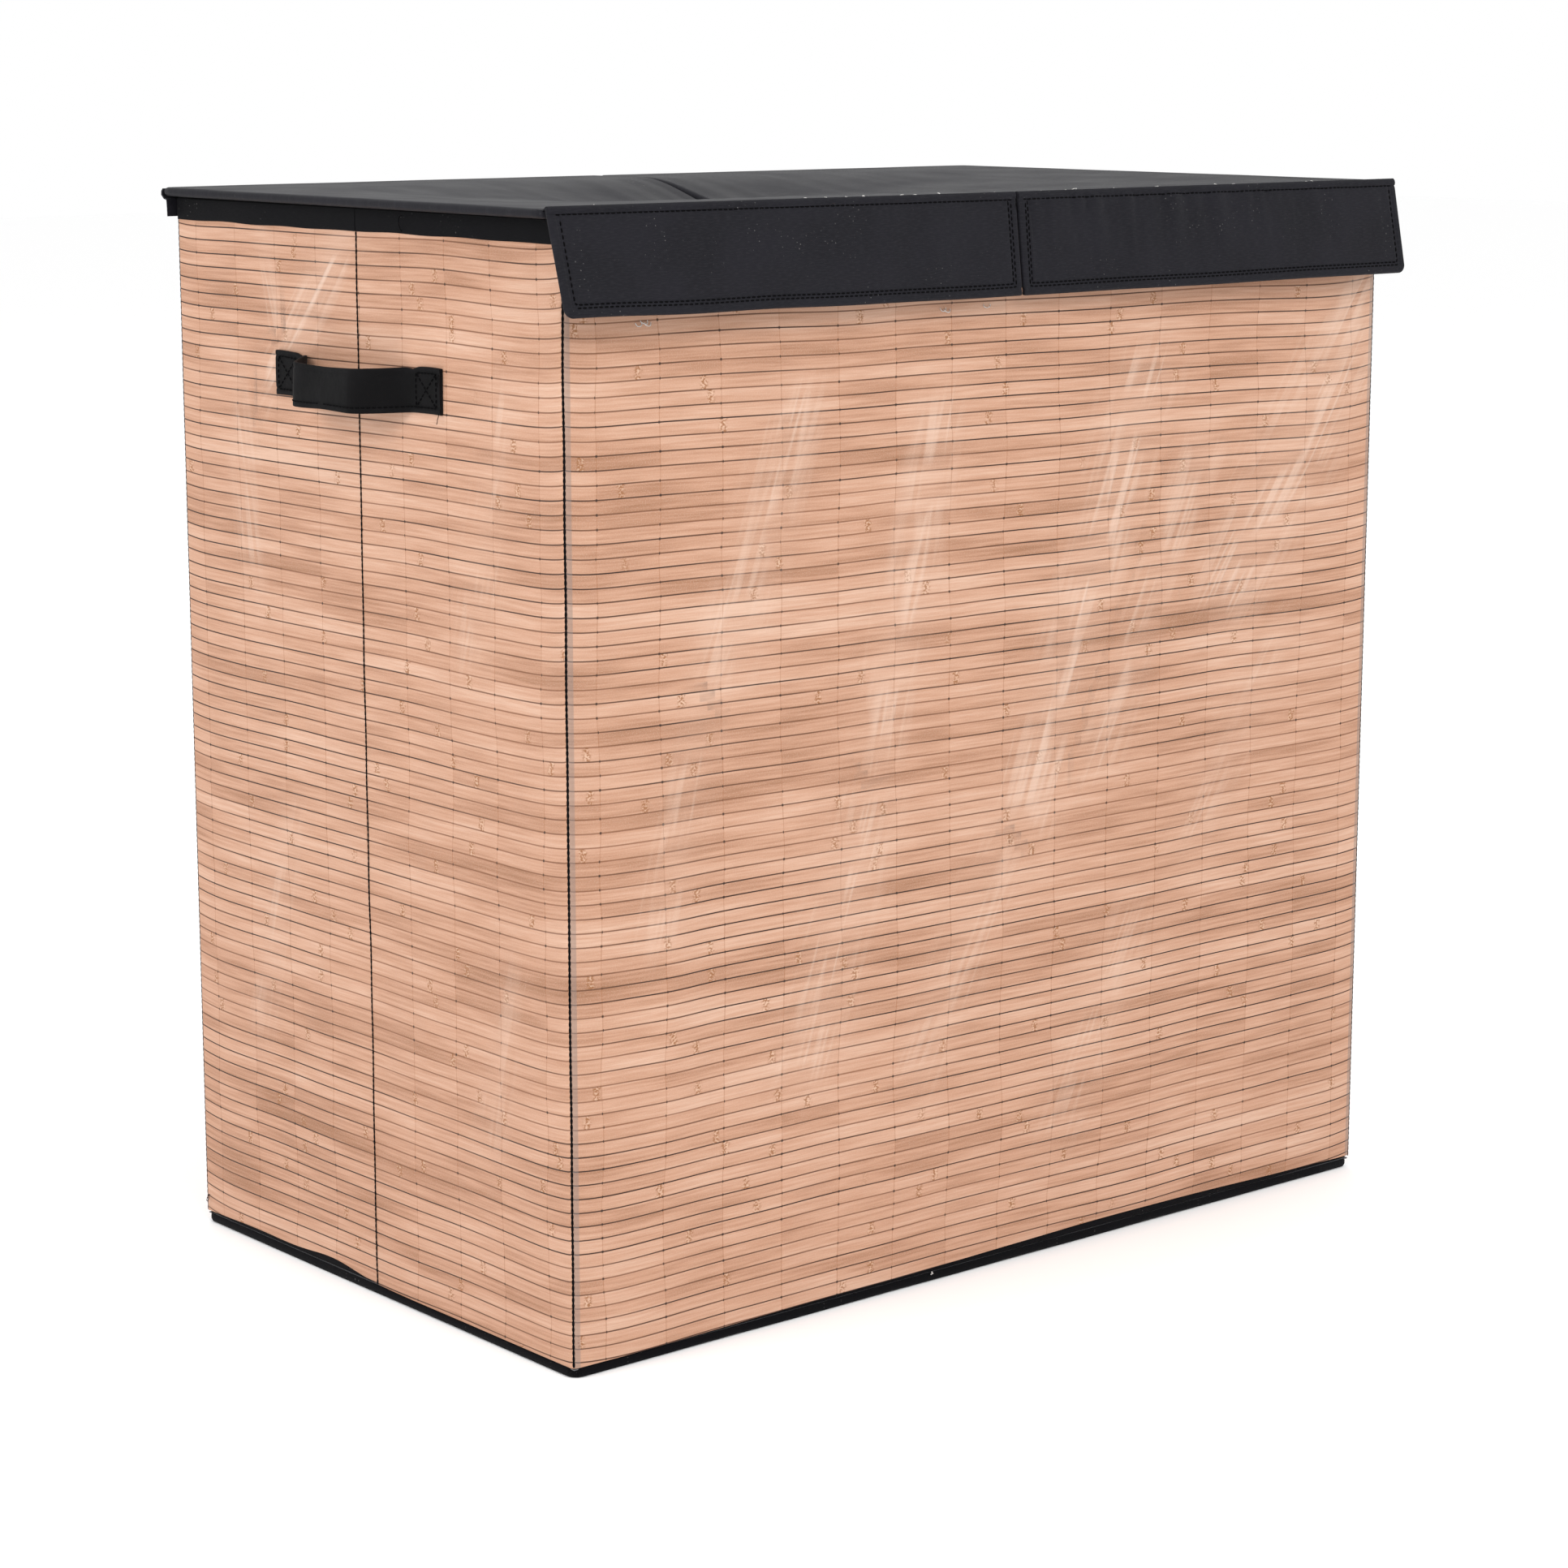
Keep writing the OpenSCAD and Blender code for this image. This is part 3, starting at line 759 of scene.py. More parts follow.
for number, (panel, (body, wall, start, end, inner_start, inner_end)) in enumerate(panels.items()):
    cloth = add_print(panel + "_cloth", start, end)
    sew(cloth, body, wall)
    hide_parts(panel + "_print")
    end - start
    panel + "_stiffener"

    stiffener = add_layer(panel + "_stiffener", inner_start, inner_end, bottom_strip_top + 0.3 * MM,
                          wall_top - 1.4 * MM, print_t + 0.1 * MM, board_t - 0.2 * MM, CARDBOARD, "board")
    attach(stiffener, body)
    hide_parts(panel + "_board")

    lining = add_layer(panel + "_lining_cloth", inner_start, inner_end, panel_z, binding_z - 0.2 * MM,
                       print_t + board_t, wall_t - print_t - board_t, LINING_CLOTH, "lining_cloth",
                       40 + number)
    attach(lining, body)
    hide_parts(panel + "_lining")
    inner_end - inner_start
    panel + "_stiffener"

    # The binding's cloth is the black cloth darkened as painted shade.
    binding = add_strip(panel + "_top_binding", start, end, binding_section, SHADED_BLACK_CLOTH, "black_cloth")
    sew(binding, body, wall)
    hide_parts(panel + "_binding")

    # A black strip inside the cloth's bottom edge, in black cloth darkened as painted shade; it shows where
    # the cloth is lifted.
    bottom_strip = add_strip(panel + "_hem", inner_start, inner_end, bottom_strip_section, SHADED_BLACK_CLOTH, "black_cloth")
    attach(bottom_strip, body)

# ---- Seams of the walls ----
# The panels are sewn to each other at the corners and up the middle of each side
# with black thread. The seam is a little wavy and shows as a line of stitches.


def thread_finish(name, dark, light):
    """Twisted sewing thread."""
    f = Finish(name, Specular_IOR_Level=0.04)
    twist = ((f.u * 2600 + f.v * 5000)).sine()
    fuzz = f.noise(f.u * 2500, f.v * 2500, 1.0)
    shade = f.mix(twist.ramp(-0.6, 0.9) * 0.7 + fuzz * 0.3, dark, light)
    return f.done(shade, 0.6 + fuzz * 0.2, twist * (0.05 * MM))


BLACK_THREAD = thread_finish("black_thread", (0.0008, 0.0008, 0.001), (0.0035, 0.0034, 0.004))
PALE_THREAD = thread_finish("pale_thread", (0.5, 0.48, 0.45), (0.85, 0.84, 0.82))


thread_turns = np.linspace(0, 2 * math.pi, 7)[:-1]


def seam_mesh(s, low, high, wide, proud, seed):
    """A line of stitches up the wall at s: flat beads that touch at their ends."""
    pitch = 3.2 * MM
    heights = spaced(low, high, pitch / 4)
    bead = 0.62 + 0.38 * abs(np.sin(math.pi * (heights - low) / pitch))
    place = s + 0.35 * MM * ripple(heights, 0 * heights, seed, 0.05)
    rings = []
    for z, size, middle in zip(heights, bead, place):
        along = middle + wide / 2 * size * np.cos(thread_turns)
        out = bulge(middle, z) + proud * size * (0.35 + 0.65 * np.sin(thread_turns))
        rings.append(wall_point(along, out, z))
    return loft_mesh(rings, thread_turns * wide / 4, heights)


seam_bottom, seam_top = panel_z + 0.5 * MM, binding_z - 1 * MM
corner_seam, middle_seam = 1.7 * MM, 1.4 * MM
seams = {
    "left_front_seam": (front_s, corner_seam, ("front_wall",)),
    "right_front_seam": (half_w, corner_seam, ("front_wall",)),
    "left_rear_seam": (-rear_s, corner_seam, ("rear_wall",)),
    "right_rear_seam": (rear_s, corner_seam, ("rear_wall",)),
    "left_middle_seam": (-middle_s, middle_seam, ("left_side_rear", "left_side_front")),
    "right_middle_seam": (middle_s, middle_seam, ("right_side_rear", "right_side_front")),
}
for number, (name, (s, wide, bodies)) in enumerate(seams.items()):
    seam = add_piece(name, *seam_mesh(s, seam_bottom, seam_top, wide, 0.5 * MM, 60 + number),
                     BLACK_THREAD, "thread")
    if len(bodies) == 1:
        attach(seam, bodies[0])
    else:
        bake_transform(seam)

# ---- Divider ----
# A cloth partition sewn between the front and rear walls keeps two loads apart.
# It is slack, and sags and sways.

divider_low, divider_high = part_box("divider")
divider_mid = (divider_low.x + divider_high.x) / 2
divider_half = (divider_high.x - divider_low.x) / 2 - 0.1 * MM


def divider_face(side):
    def face(y, z):
        height = (z - divider_low.z) / (divider_high.z - divider_low.z)
        loose = np.cos(y / divider_high.y * math.pi / 2)
        swing = 5 * MM * loose * ripple(y, z, 71, 0.22) + 1.2 * MM * loose * ripple(y, z * 0.4, 72, 0.05)
        droop = 9 * MM * loose * height ** 3
        return np.stack([divider_mid + swing + side * divider_half, y, z - droop], -1)
    return face


divider = add_slab("divider_cloth", spaced(divider_low.y, divider_high.y, 7 * MM),
                   spaced(divider_low.z, divider_high.z, 7 * MM), divider_face(1), divider_face(-1),
                   LINING_CLOTH, "lining_cloth")
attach(divider, "rear_wall")
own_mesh(divider)
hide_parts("divider")

# ---- Lids ----
# Each lid is a board in a black cloth cover with a turned edge. The boards have
# sagged along the split in the middle, and the cloth has wrinkled there.

lid_low, lid_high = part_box("right_lid_cover")
lid_half = (lid_high.z - lid_low.z) / 2
lid_mid = (lid_high.z + lid_low.z) / 2
lid_depth = lid_high.y - lid_low.y
lid_edge = 6 * MM
lid_corner = 5 * MM
lid_board_inset = 2.6 * MM
lid_board_half = 1 * MM
sag_reach = 137 * MM
sag_flank = 85 * MM
lid_yaw = 8 * MM


def edge_steps(start, end, round_r, step):
    """Even steps with finer ones over the round edges at both ends."""
    near = [round_r * share for share in (0, 0.04, 0.15, 0.32, 0.6, 1)]
    inner = spaced(start + round_r, end - round_r, step)[1:-1]
    return np.array([start + n for n in near] + inner.tolist() + [end - n for n in near[::-1]])


def dome(distance, radius):
    """1 beyond the radius, falling to 0 at the edge as a quarter circle does."""
    share = np.clip(distance / radius, 0, 1)
    return np.sqrt(1 - (1 - share) ** 2)


def round_corners(a, b, low_a, high_a, low_b, high_b, radius):
    """Moves the points of a rectangle so that its corners are round."""
    for side_a in (-1, 1):
        for side_b in (-1, 1):
            edge_a = high_a if side_a > 0 else low_a
            edge_b = high_b if side_b > 0 else low_b
            in_a = radius - (edge_a - a) * side_a
            in_b = radius - (edge_b - b) * side_b
            inside = (in_a > 0) & (in_b > 0)
            scale = np.maximum(in_a, in_b) / np.maximum(np.hypot(in_a, in_b), 1e-9) - 1
            a = np.where(inside, a + side_a * in_a * scale, a)
            b = np.where(inside, b + side_b * in_b * scale, b)
    return a, b


def lid_sag(x, y, deep):
    """How far the lid has dropped, most at the split and midway from front to rear."""
    across = np.clip((lid_high.x - lid_edge - x) / (lid_high.x - lid_edge - lid_low.x), 0, 1)
    flank = np.clip((sag_reach - abs(y)) / sag_flank, 0, 1)
    return -deep * flank ** 2 * (3 - 2 * flank) * across ** 1.4


def splay(side, x, y):
    """The left lid is wider at the front: how far its cloth is pulled out there."""
    share = (x - lid_low.x) / (lid_high.x - lid_low.x)
    return lid_yaw * share ** 2 * (lid_high.y - y) / lid_depth if side < 0 else 0


def lid_face(name, level, inset=0.0, half=None):
    """A face of a lid's cover: level 1 is the top and -1 the underside. It is a face of
    the board where the board's inset and half its thickness are given."""
    side, deep, seed = lids[name]

    def face(x, y):
        low_x, high_x = lid_low.x + inset, lid_high.x - inset
        low_y, high_y = lid_low.y + inset, lid_high.y - inset
        edge = np.minimum(np.minimum(x - low_x, high_x - x), np.minimum(y - low_y, high_y - y))
        plan_x, plan_y = round_corners(x, y, low_x, high_x, low_y, high_y, lid_corner)
        z = lid_mid + lid_sag(plan_x, plan_y, deep)
        if half is None:
            rim = 0.35 * MM * (hump(edge, 3.5 * MM, 1.8 * MM) - hump(edge, 7 * MM, 1.2 * MM))
            z = z + level * (lid_half * dome(edge, lid_half) + rim)
        else:
            z = z + level * half
        if level > 0:
            z = z + 0.35 * MM * (ripple(x, y, seed + 1, 0.09) - 1) * np.clip(edge / (10 * MM), 0, 1)
        if level > 0 and half is None:
            crest = np.exp(-((x - lid_low.x) / 0.12)) * np.cos(y / lid_depth * math.pi)
            wrinkle = ripple(x, y * 0.1, seed, 0.02)
            z = z + MM * (0.9 * wrinkle + 1.1 * np.maximum(wrinkle, 0)) * crest
        return np.stack([side * (plan_x + splay(side, plan_x, plan_y)), plan_y, z], -1)
    return face


# Lid: its side, how far it has sagged and the seed of its unevenness
lids = {"left": (-1, 18 * MM, 81), "right": (1, 14.5 * MM, 85)}
for name in lids:
    xs = edge_steps(lid_low.x, lid_high.x, lid_half, 4.5 * MM)
    ys = edge_steps(lid_low.y, lid_high.y, lid_half, 6 * MM)
    cover = add_slab(name + "_lid_cloth", xs, ys, lid_face(name, 1), lid_face(name, -1),
                     BLACK_CLOTH, "black_cloth")
    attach(cover, name + "_lid")
    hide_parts(name + "_lid_cover")

    xs = spaced(lid_low.x + lid_board_inset, lid_high.x - lid_board_inset, 10 * MM)
    ys = spaced(lid_low.y + lid_board_inset, lid_high.y - lid_board_inset, 10 * MM)
    board = add_slab(name + "_lid_stiffener", xs, ys, lid_face(name, 1, lid_board_inset, lid_board_half),
                     lid_face(name, -1, lid_board_inset, lid_board_half), CARDBOARD, "board")
    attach(board, name + "_lid")
    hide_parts(name + "_lid_board")

# ---- Valances ----
# A stiffened flap hangs from the front edge of each lid. Its cloth is turned over
# a board and sewn down near the edges, so that the border stands up a little.
# The cloth puckers below the fold, and the left flap stands off more than the right.

hinge_y = lid_low.y - 0.4 * MM
hinge_z = lid_high.z
valance_h = 55 * MM
valance_t = 3.4 * MM
edge_r = valance_t / 2
valance_corner = 5 * MM
valance_board_half = 0.5 * MM
border = 6.4 * MM
second_row = 1.7 * MM
top_row = -3.6 * MM
stitch_pitch = 3.4 * MM


def valance_frame(side, x, depth, z):
    """Point of a valance: x from the middle of the hamper, depth out from its inner
    face and z down from its hinge line, with the valance hanging at its angle."""
    share = (x - lid_low.x) / (lid_high.x - lid_low.x)
    angle = np.radians(7 + 9.5 * share ** 1.3 if side < 0 else 7 + 4.5 * share)
    y = hinge_y - depth * np.cos(angle) + z * np.sin(angle)
    height = hinge_z + depth * np.sin(angle) + z * np.cos(angle)
    return np.stack([side * (x + splay(side, x, lid_low.y)), y, height], -1)


def border_distance(x, z):
    """Distance in from the ends and the bottom edge of a valance."""
    return np.minimum(np.minimum(x - lid_low.x, lid_high.x - x), z + valance_h)


def valance_relief(side, x, z, seed):
    """Relief of a valance's outer face: the sewn border and the puckers."""
    distance = border_distance(x, z)
    groove = 0.55 * MM * hump(distance, border, 0.8 * MM)
    groove = groove + 0.35 * MM * hump(distance, border - second_row, 0.6 * MM)
    groove = groove + 0.45 * MM * hump(z, top_row, 0.8 * MM)
    inner = hump(x, lid_low.x + 90 * MM, 110 * MM)
    gathers = MM * (0.8 + 3.4 * inner) if side > 0 else 0.5 * MM
    pucker = gathers * (abs(ripple(x + z * 0.12, z * 0.1, seed, 0.024)) ** 0.6 - 0.1)
    pucker = pucker * np.exp(z / 0.026) * np.clip(-z / 0.004, 0, 1)
    wave = 0.5 * MM * ripple(x, z * 0.4, seed + 1, 0.05)
    inside = np.clip(distance / (8 * MM), 0, 1)
    return (pucker + wave - 0.45 * MM) * inside - groove


def valance_face(side, level, seed):
    """A face of a valance's cover: level 1 is the outer face and -1 the inner one. Its
    bottom corner is round at the hamper's side and nearly square at the split."""
    def face(x, z):
        plan_x, plan_z = round_corners(x, z, lid_low.x - 3 * MM, lid_high.x, -valance_h, 40 * MM,
                                       valance_corner)
        swell = dome(np.minimum(border_distance(x, z), 0.4 * MM - z), edge_r)
        if level > 0:
            relief = valance_relief(side, x, z, seed)
        else:
            relief = 0.2 * MM * (1 - ripple(x, z, seed + 2, 0.04))
        drop = 0.6 * MM * ripple(x, 0 * x, seed + 3, 0.09) * np.clip(-z / valance_h, 0, 1)
        depth = edge_r + (level * edge_r + relief) * swell
        return valance_frame(side, plan_x, depth, plan_z + drop)
    return face


def stitch_parts(starts, ends, outward, wide, high):
    """Stitches as small loaves of thread between pairs of points."""
    parts = []
    shares = np.array([0, 0.12, 0.5, 0.88, 1])
    sizes = [0.35, 0.85, 1, 0.85, 0.35]
    for start, end, up in zip(starts, ends, outward):
        run = end - start
        length = np.linalg.norm(run)
        across = np.cross(run, up) / max(length, 1e-9)
        section = np.outer(np.cos(thread_turns), across * wide / 2)
        section = section + np.outer(np.sin(thread_turns), up * high / 2)
        rings = [start + run * share + up * high * (size - 0.55) + size * section
                 for share, size in zip(shares, sizes)]
        parts.append(loft_mesh(rings, thread_turns * wide / 4, shares * length))
    return parts


def path_lengths(path):
    """How far along a path each of its points is."""
    return np.concatenate([[0], np.cumsum(np.linalg.norm(np.diff(path, axis=0), axis=1))])


def row_of(path, outward, pitch, filled=0.72):
    """Starts, ends and outward directions of a row of stitches along a path of points."""
    lengths = path_lengths(path)

    def along(where, values):
        return np.stack([np.interp(where, lengths, values[:, k]) for k in range(3)], -1)

    begins = np.arange(pitch * 0.2, lengths[-1] - pitch * filled, pitch)
    return along(begins, path), along(begins + pitch * filled, path), along(begins, outward)


def valance_path(side, points, seed, lift=0.0):
    """Points on a valance's outer face and their outward directions."""
    x, z = np.array(points).T
    face = valance_face(side, 1, seed)
    here = face(x, z)
    right, up = face(x + 1e-4, z) - here, face(x, z + 1e-4) - here
    out = np.cross(right, up) * side
    out = out / np.linalg.norm(out, axis=1)[:, None]
    return here + out * lift, out


def line_points(*corners, step=1.5 * MM):
    """Points along straight lines through the corners."""
    found = []
    for (x0, z0), (x1, z1) in zip(corners, corners[1:]):
        for share in spaced(0, 1, step / max(math.hypot(x1 - x0, z1 - z0), step)):
            found.append((x0 + (x1 - x0) * share, z0 + (z1 - z0) * share))
    return found


# Section of the cloth over the fold: how far back from the lid's edge and how high over
# its top, and then how far out from the valance's inner face and how high over its hinge
fold_on_lid = [(7, -0.35), (5.5, 0.12), (3, 0.3), (1.2, 0.35)]
fold_over = [(1.2, 0.9), (2.6, 0.75), (3.5, -0.4), (3.65, -2), (3.1, -3.3),
             (2.5, -3), (2.6, -0.9), (0.9, 0.1)]
fold_under_lid = [(2.5, -0.7), (6, -0.9)]

for name, seed in (("left", 91), ("right", 101)):
    side = lids[name][0]
    xs = np.unique(np.concatenate([
        edge_steps(lid_low.x, lid_high.x, edge_r, 3.5 * MM),
        lid_low.x + np.arange(1.7, 10, 0.7) * MM, lid_high.x - np.arange(1.7, 10, 0.7) * MM]).round(6))
    zs = np.unique(np.concatenate([
        -valance_h + np.array([0, 0.04, 0.15, 0.32, 0.6, 1]) * edge_r,
        -valance_h + np.arange(2.3, 10, 0.7) * MM, spaced(-valance_h + 10 * MM, -7 * MM, 3.5 * MM),
        -np.arange(1.5, 7, 0.7) * MM, np.array([-0.9, -0.5, -0.2, 0.1]) * MM]).round(6))
    cover = add_slab(name + "_valance_cloth", xs, zs, valance_face(side, 1, seed),
                     valance_face(side, -1, seed), BLACK_CLOTH, "black_cloth")
    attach(cover, name + "_valance")
    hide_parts(name + "_valance_cover")

    def board_face(level):
        return lambda x, z: valance_frame(side, x, edge_r + level * valance_board_half, z)

    board = add_slab(name + "_valance_stiffener", spaced(lid_low.x + 9 * MM, lid_high.x - 9 * MM, 8 * MM),
                     spaced(-valance_h + 9 * MM, -7 * MM, 8 * MM), board_face(1), board_face(-1),
                     CARDBOARD, "board")
    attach(board, name + "_valance")
    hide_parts(name + "_valance_board")

    near_x, far_x, low_z = lid_low.x + border, lid_high.x - border, -valance_h + border
    outline = line_points((near_x, top_row), (near_x, low_z), (far_x, low_z), (far_x, top_row))
    second_x, second_z = near_x - second_row, low_z - second_row
    second = line_points((second_x, -5 * MM), (second_x, second_z), (far_x + 1 * MM, second_z))
    top = line_points((lid_low.x + 3 * MM, top_row), (lid_high.x - 3 * MM, top_row))
    parts = []
    for points in (outline, second, top):
        row = row_of(*valance_path(side, points, seed, 0.1 * MM), stitch_pitch)
        parts += stitch_parts(*row, 0.75 * MM, 0.6 * MM)
    stitching = add_piece(name + "_valance_stitching", *join_meshes(parts), BLACK_THREAD, "thread")
    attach(stitching, name + "_valance")

    # The cloth that runs over the fold from the lid to the valance
    stations = spaced(lid_low.x + 0.6 * MM, lid_high.x - 0.6 * MM, 5 * MM)
    lid_top = lid_face(name, 1)
    rings = []
    for x in stations:
        on_lid, under_lid = ([lid_top(x, lid_low.y + back * MM) + (0, 0, lift * MM) for back, lift in section]
                             for section in (fold_on_lid, fold_under_lid))
        over = [valance_frame(side, x, depth * MM, z * MM) for depth, z in fold_over]
        rings.append(on_lid + over + under_lid)
    around = np.arange(len(rings[0])) * 1.5 * MM
    fold = add_piece(name + "_fold_cloth", *loft_mesh(rings, around, stations), BLACK_CLOTH, "black_cloth")
    name + "_lid"
    name + "_valance"
    hinge_y + 0.6 * MM
    hinge_y - 1.6 * MM
    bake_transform(fold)

# ---- Hinge tapes ----
# A strip of black cloth is sewn down the back of the top binding and to the rear
# edge of each lid, and is all that the lid hinges on.

tape_low, tape_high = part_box("right_hinge_tape")
face_y = tape_low.y + 0.35 * MM
lid_hinge_y = lid_high.y + 2 * MM
# Section of a tape, down its inner face and up its outer one: depth and height
tape_section = [
    (face_y + 0.5 * MM, tape_low.z + 1 * MM), (face_y + 0.7 * MM, tape_low.z + 6 * MM),
    (face_y + 1.1 * MM, tape_high.z - 1.6 * MM), (lid_high.y - 1.2 * MM, tape_high.z - 0.9 * MM),
    (lid_hinge_y - 0.6 * MM, lid_low.z + 0.4 * MM), (lid_hinge_y - 0.8 * MM, lid_low.z + 2.6 * MM),
    (lid_high.y - 0.4 * MM, lid_high.z - 0.6 * MM), (lid_high.y - 0.9 * MM, lid_high.z - 1.4 * MM),
    (lid_high.y + 0.2 * MM, lid_low.z + 1.6 * MM), (lid_high.y - 0.3 * MM, lid_low.z + 0.3 * MM),
    (lid_high.y - 1.6 * MM, tape_high.z - 0.3 * MM), (face_y + 0.4 * MM, tape_high.z - 1 * MM),
    (face_y, tape_low.z + 6 * MM), (face_y - 0.1 * MM, tape_low.z + 1 * MM)]
for name, (side, _, _) in lids.items():
    stations = spaced(tape_low.x + 2 * MM, lid_high.x - 0.8 * MM, 6 * MM)
    rings = []
    for x in stations:
        slack = 0.25 * MM * ripple(x, 0, 111 + side, 0.05)
        rings.append([(side * x, y + slack, z) for y, z in tape_section])
    around = np.arange(len(tape_section)) * 1.6 * MM
    tape = add_piece(name + "_hinge_cloth", *loft_mesh(rings, around, stations), BLACK_CLOTH, "black_cloth")
    name + "_lid"
    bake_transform(tape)
    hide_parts(name + "_hinge_tape")

# ---- Closure pads ----
# Square hook pads are sewn inside the valances, and loop pads on the front wall
# behind them. Their tacking threads show as pale loops below the valance.


def pad_finish(name, pile_scale, pile):
    """Black hook or loop fastener with a dense pile."""
    f = Finish(name, Specular_IOR_Level=0.1, Sheen_Weight=0.05)
    tufts = f.noise(f.u * pile_scale, f.v * pile_scale, 2.0)
    shade = f.mix(tufts.ramp(0.35, 0.75), (0.006, 0.006, 0.007), (0.035, 0.035, 0.038))
    return f.done(shade, 0.7 + tufts * 0.2, tufts * pile)


LOOP_PILE = pad_finish("loop_pile", 900, 0.5 * MM)
HOOK_PILE = pad_finish("hook_pile", 1500, 0.35 * MM)
loop_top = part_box("loop_pads")[1].z
pad_size = 22 * MM
pad_t = 0.9 * MM
pad_edge = 1.5 * MM
pad_corner = 3 * MM
pad_offset = 101 * MM
lid_middle = (lid_low.x + lid_high.x) / 2


def pad_grid(middle, top, place):
    """A pad with round corners and a thin edge. place takes x, height and how far out."""
    steps = edge_steps(0, pad_size, pad_edge, 2.5 * MM)

    def face(level):
        def points(a, b):
            edge = np.minimum(np.minimum(a, pad_size - a), np.minimum(b, pad_size - b))
            plan_a, plan_b = round_corners(a, b, 0, pad_size, 0, pad_size, pad_corner)
            out = level * pad_t * (0.3 + 0.7 * dome(edge, pad_edge))
            return place(middle - pad_size / 2 + plan_a, top - pad_size + plan_b, out)
        return points
    return slab_mesh(steps, steps, face(1), face(0))


def on_front(x, z, out):
    return wall_point(x, out + bulge(x, z), z)


pads = [pad_grid(lid * lid_middle + end * pad_offset, loop_top, on_front)
        for lid in (-1, 1) for end in (-1, 1)]
loops = add_piece("loop_pad_pile", *join_meshes(pads), LOOP_PILE, "closure_pad")
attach(loops, "front_wall")
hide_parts("loop_pads")
for name, (side, _, _) in lids.items():
    def in_valance(x, z, out):
        return valance_frame(side, x, -out - 0.3 * MM, z)

    hook_top = 5 * MM + pad_size - valance_h
    pads = [pad_grid(lid_middle + end * pad_offset, hook_top, in_valance) for end in (-1, 1)]
    hooks = add_piece(name + "_hook_pad_pile", *join_meshes(pads), HOOK_PILE, "closure_pad")
    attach(hooks, name + "_valance")
    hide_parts(name + "_hook_pads")


def tube_mesh(points, radius, sides=6):
    """A round thread through points."""
    points = np.asarray(points, float)
    forward = np.gradient(points, axis=0)
    forward /= np.linalg.norm(forward, axis=1)[:, None]
    across = np.cross(forward[0], (0.3, 0.5, 0.8))
    rings = []
    turns = np.linspace(0, 2 * math.pi, sides + 1)[:-1]
    for centre, ahead in zip(points, forward):
        across = across - ahead * (across @ ahead)
        across /= np.linalg.norm(across)
        other = np.cross(ahead, across)
        rings.append(centre + radius * (np.outer(np.cos(turns), across) + np.outer(np.sin(turns), other)))
    return loft_mesh(rings, turns * radius, path_lengths(points))


def loose_thread(start, length, seed, curl=0.5, fall=0.6):
    """Points of a short curly thread end from a place, drooping away."""
    r = np.random.default_rng(seed)
    count = 14
    heading = r.normal(size=3)
    points = [np.array(start, float)]
    for _ in range(count):
        heading = heading + curl * r.normal(size=3) - (0, 0, fall)
        heading = heading / np.linalg.norm(heading)
        points.append(points[-1] + heading * length / count)
    return np.array(points)


# Where each loop of tacking thread hangs: its place along the front and mm below the pads
tack_places = [(-0.249, 3), (-0.247, 4), (-0.253, 4), (-0.047, 5.5), (-0.044, 6.2), (-0.015, 5)]
tacks = []
for number, (x, drop) in enumerate(tack_places):
    z = loop_top - pad_size - drop * MM
    turn = np.linspace(0, math.pi, 9)
    sway = 0.8 * MM * ripple(turn * 0.01, 0 * turn, 121 + number, 0.02)
    along = x + 2.2 * MM * np.cos(turn) + sway
    out = 0.5 * MM + 0.9 * MM * np.sin(turn) + bulge(x, z)
    tacks.append(tube_mesh(wall_point(along, out, z - 1.8 * MM * np.sin(turn)), 0.22 * MM))
tack_threads = add_piece("tack_threads", *join_meshes(tacks), PALE_THREAD, "light_thread")
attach(tack_threads, "front_wall")

# ---- Handles ----
# A strap of folded black cloth on each side is sewn down at both ends, with a
# boxed cross at each end, and stands out between. It lies over the side's middle
# seam, so each half lies flat on its own panel when the side folds.


def strap_cloth():
    """Folded black cloth with a coarser weave than the lids."""
    f = Finish("strap_cloth", Specular_IOR_Level=0.07, Sheen_Weight=0.02)
    rib = (f.u * (2 * math.pi / (0.9 * MM))).sine() * (f.v * (2 * math.pi / (0.7 * MM))).sine()
    cloudy = f.noise(f.u * 60, f.v * 60, 3.0)
    shade = f.mix(rib.ramp(-0.3, 0.9) * 0.5, (0.0022, 0.0021, 0.0024), (0.0056, 0.0052, 0.006))
    shade = f.mix(cloudy.ramp(0.4, 0.8) * 0.4, shade, (0.0085, 0.0078, 0.009))
    return f.done(shade, 0.6 + cloudy * 0.2, rib * (0.04 * MM) + cloudy * (0.9 * MM))


STRAP_CLOTH = strap_cloth()
strap_low, strap_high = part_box("right_handle")
strap_t = 2.6 * MM
strap_rise = 28 * MM
patch_len = 25 * MM
strap_end = strap_high.y
bow_half = strap_end - patch_len
strap_bow = strap_high.x - half_w - strap_t
strap_mid_z = (strap_low.z + strap_high.z) / 2
strap_half_w = (strap_high.z - strap_low.z) / 2
strap_row = 0.74
strap_pitch = 3 * MM


def strap_out(y):
    """How far the inner face of the strap stands out from the side."""
    share = np.clip((bow_half - abs(y)) / strap_rise, 0, 1)
    return strap_bow * share ** 2 * (3 - 2 * share)


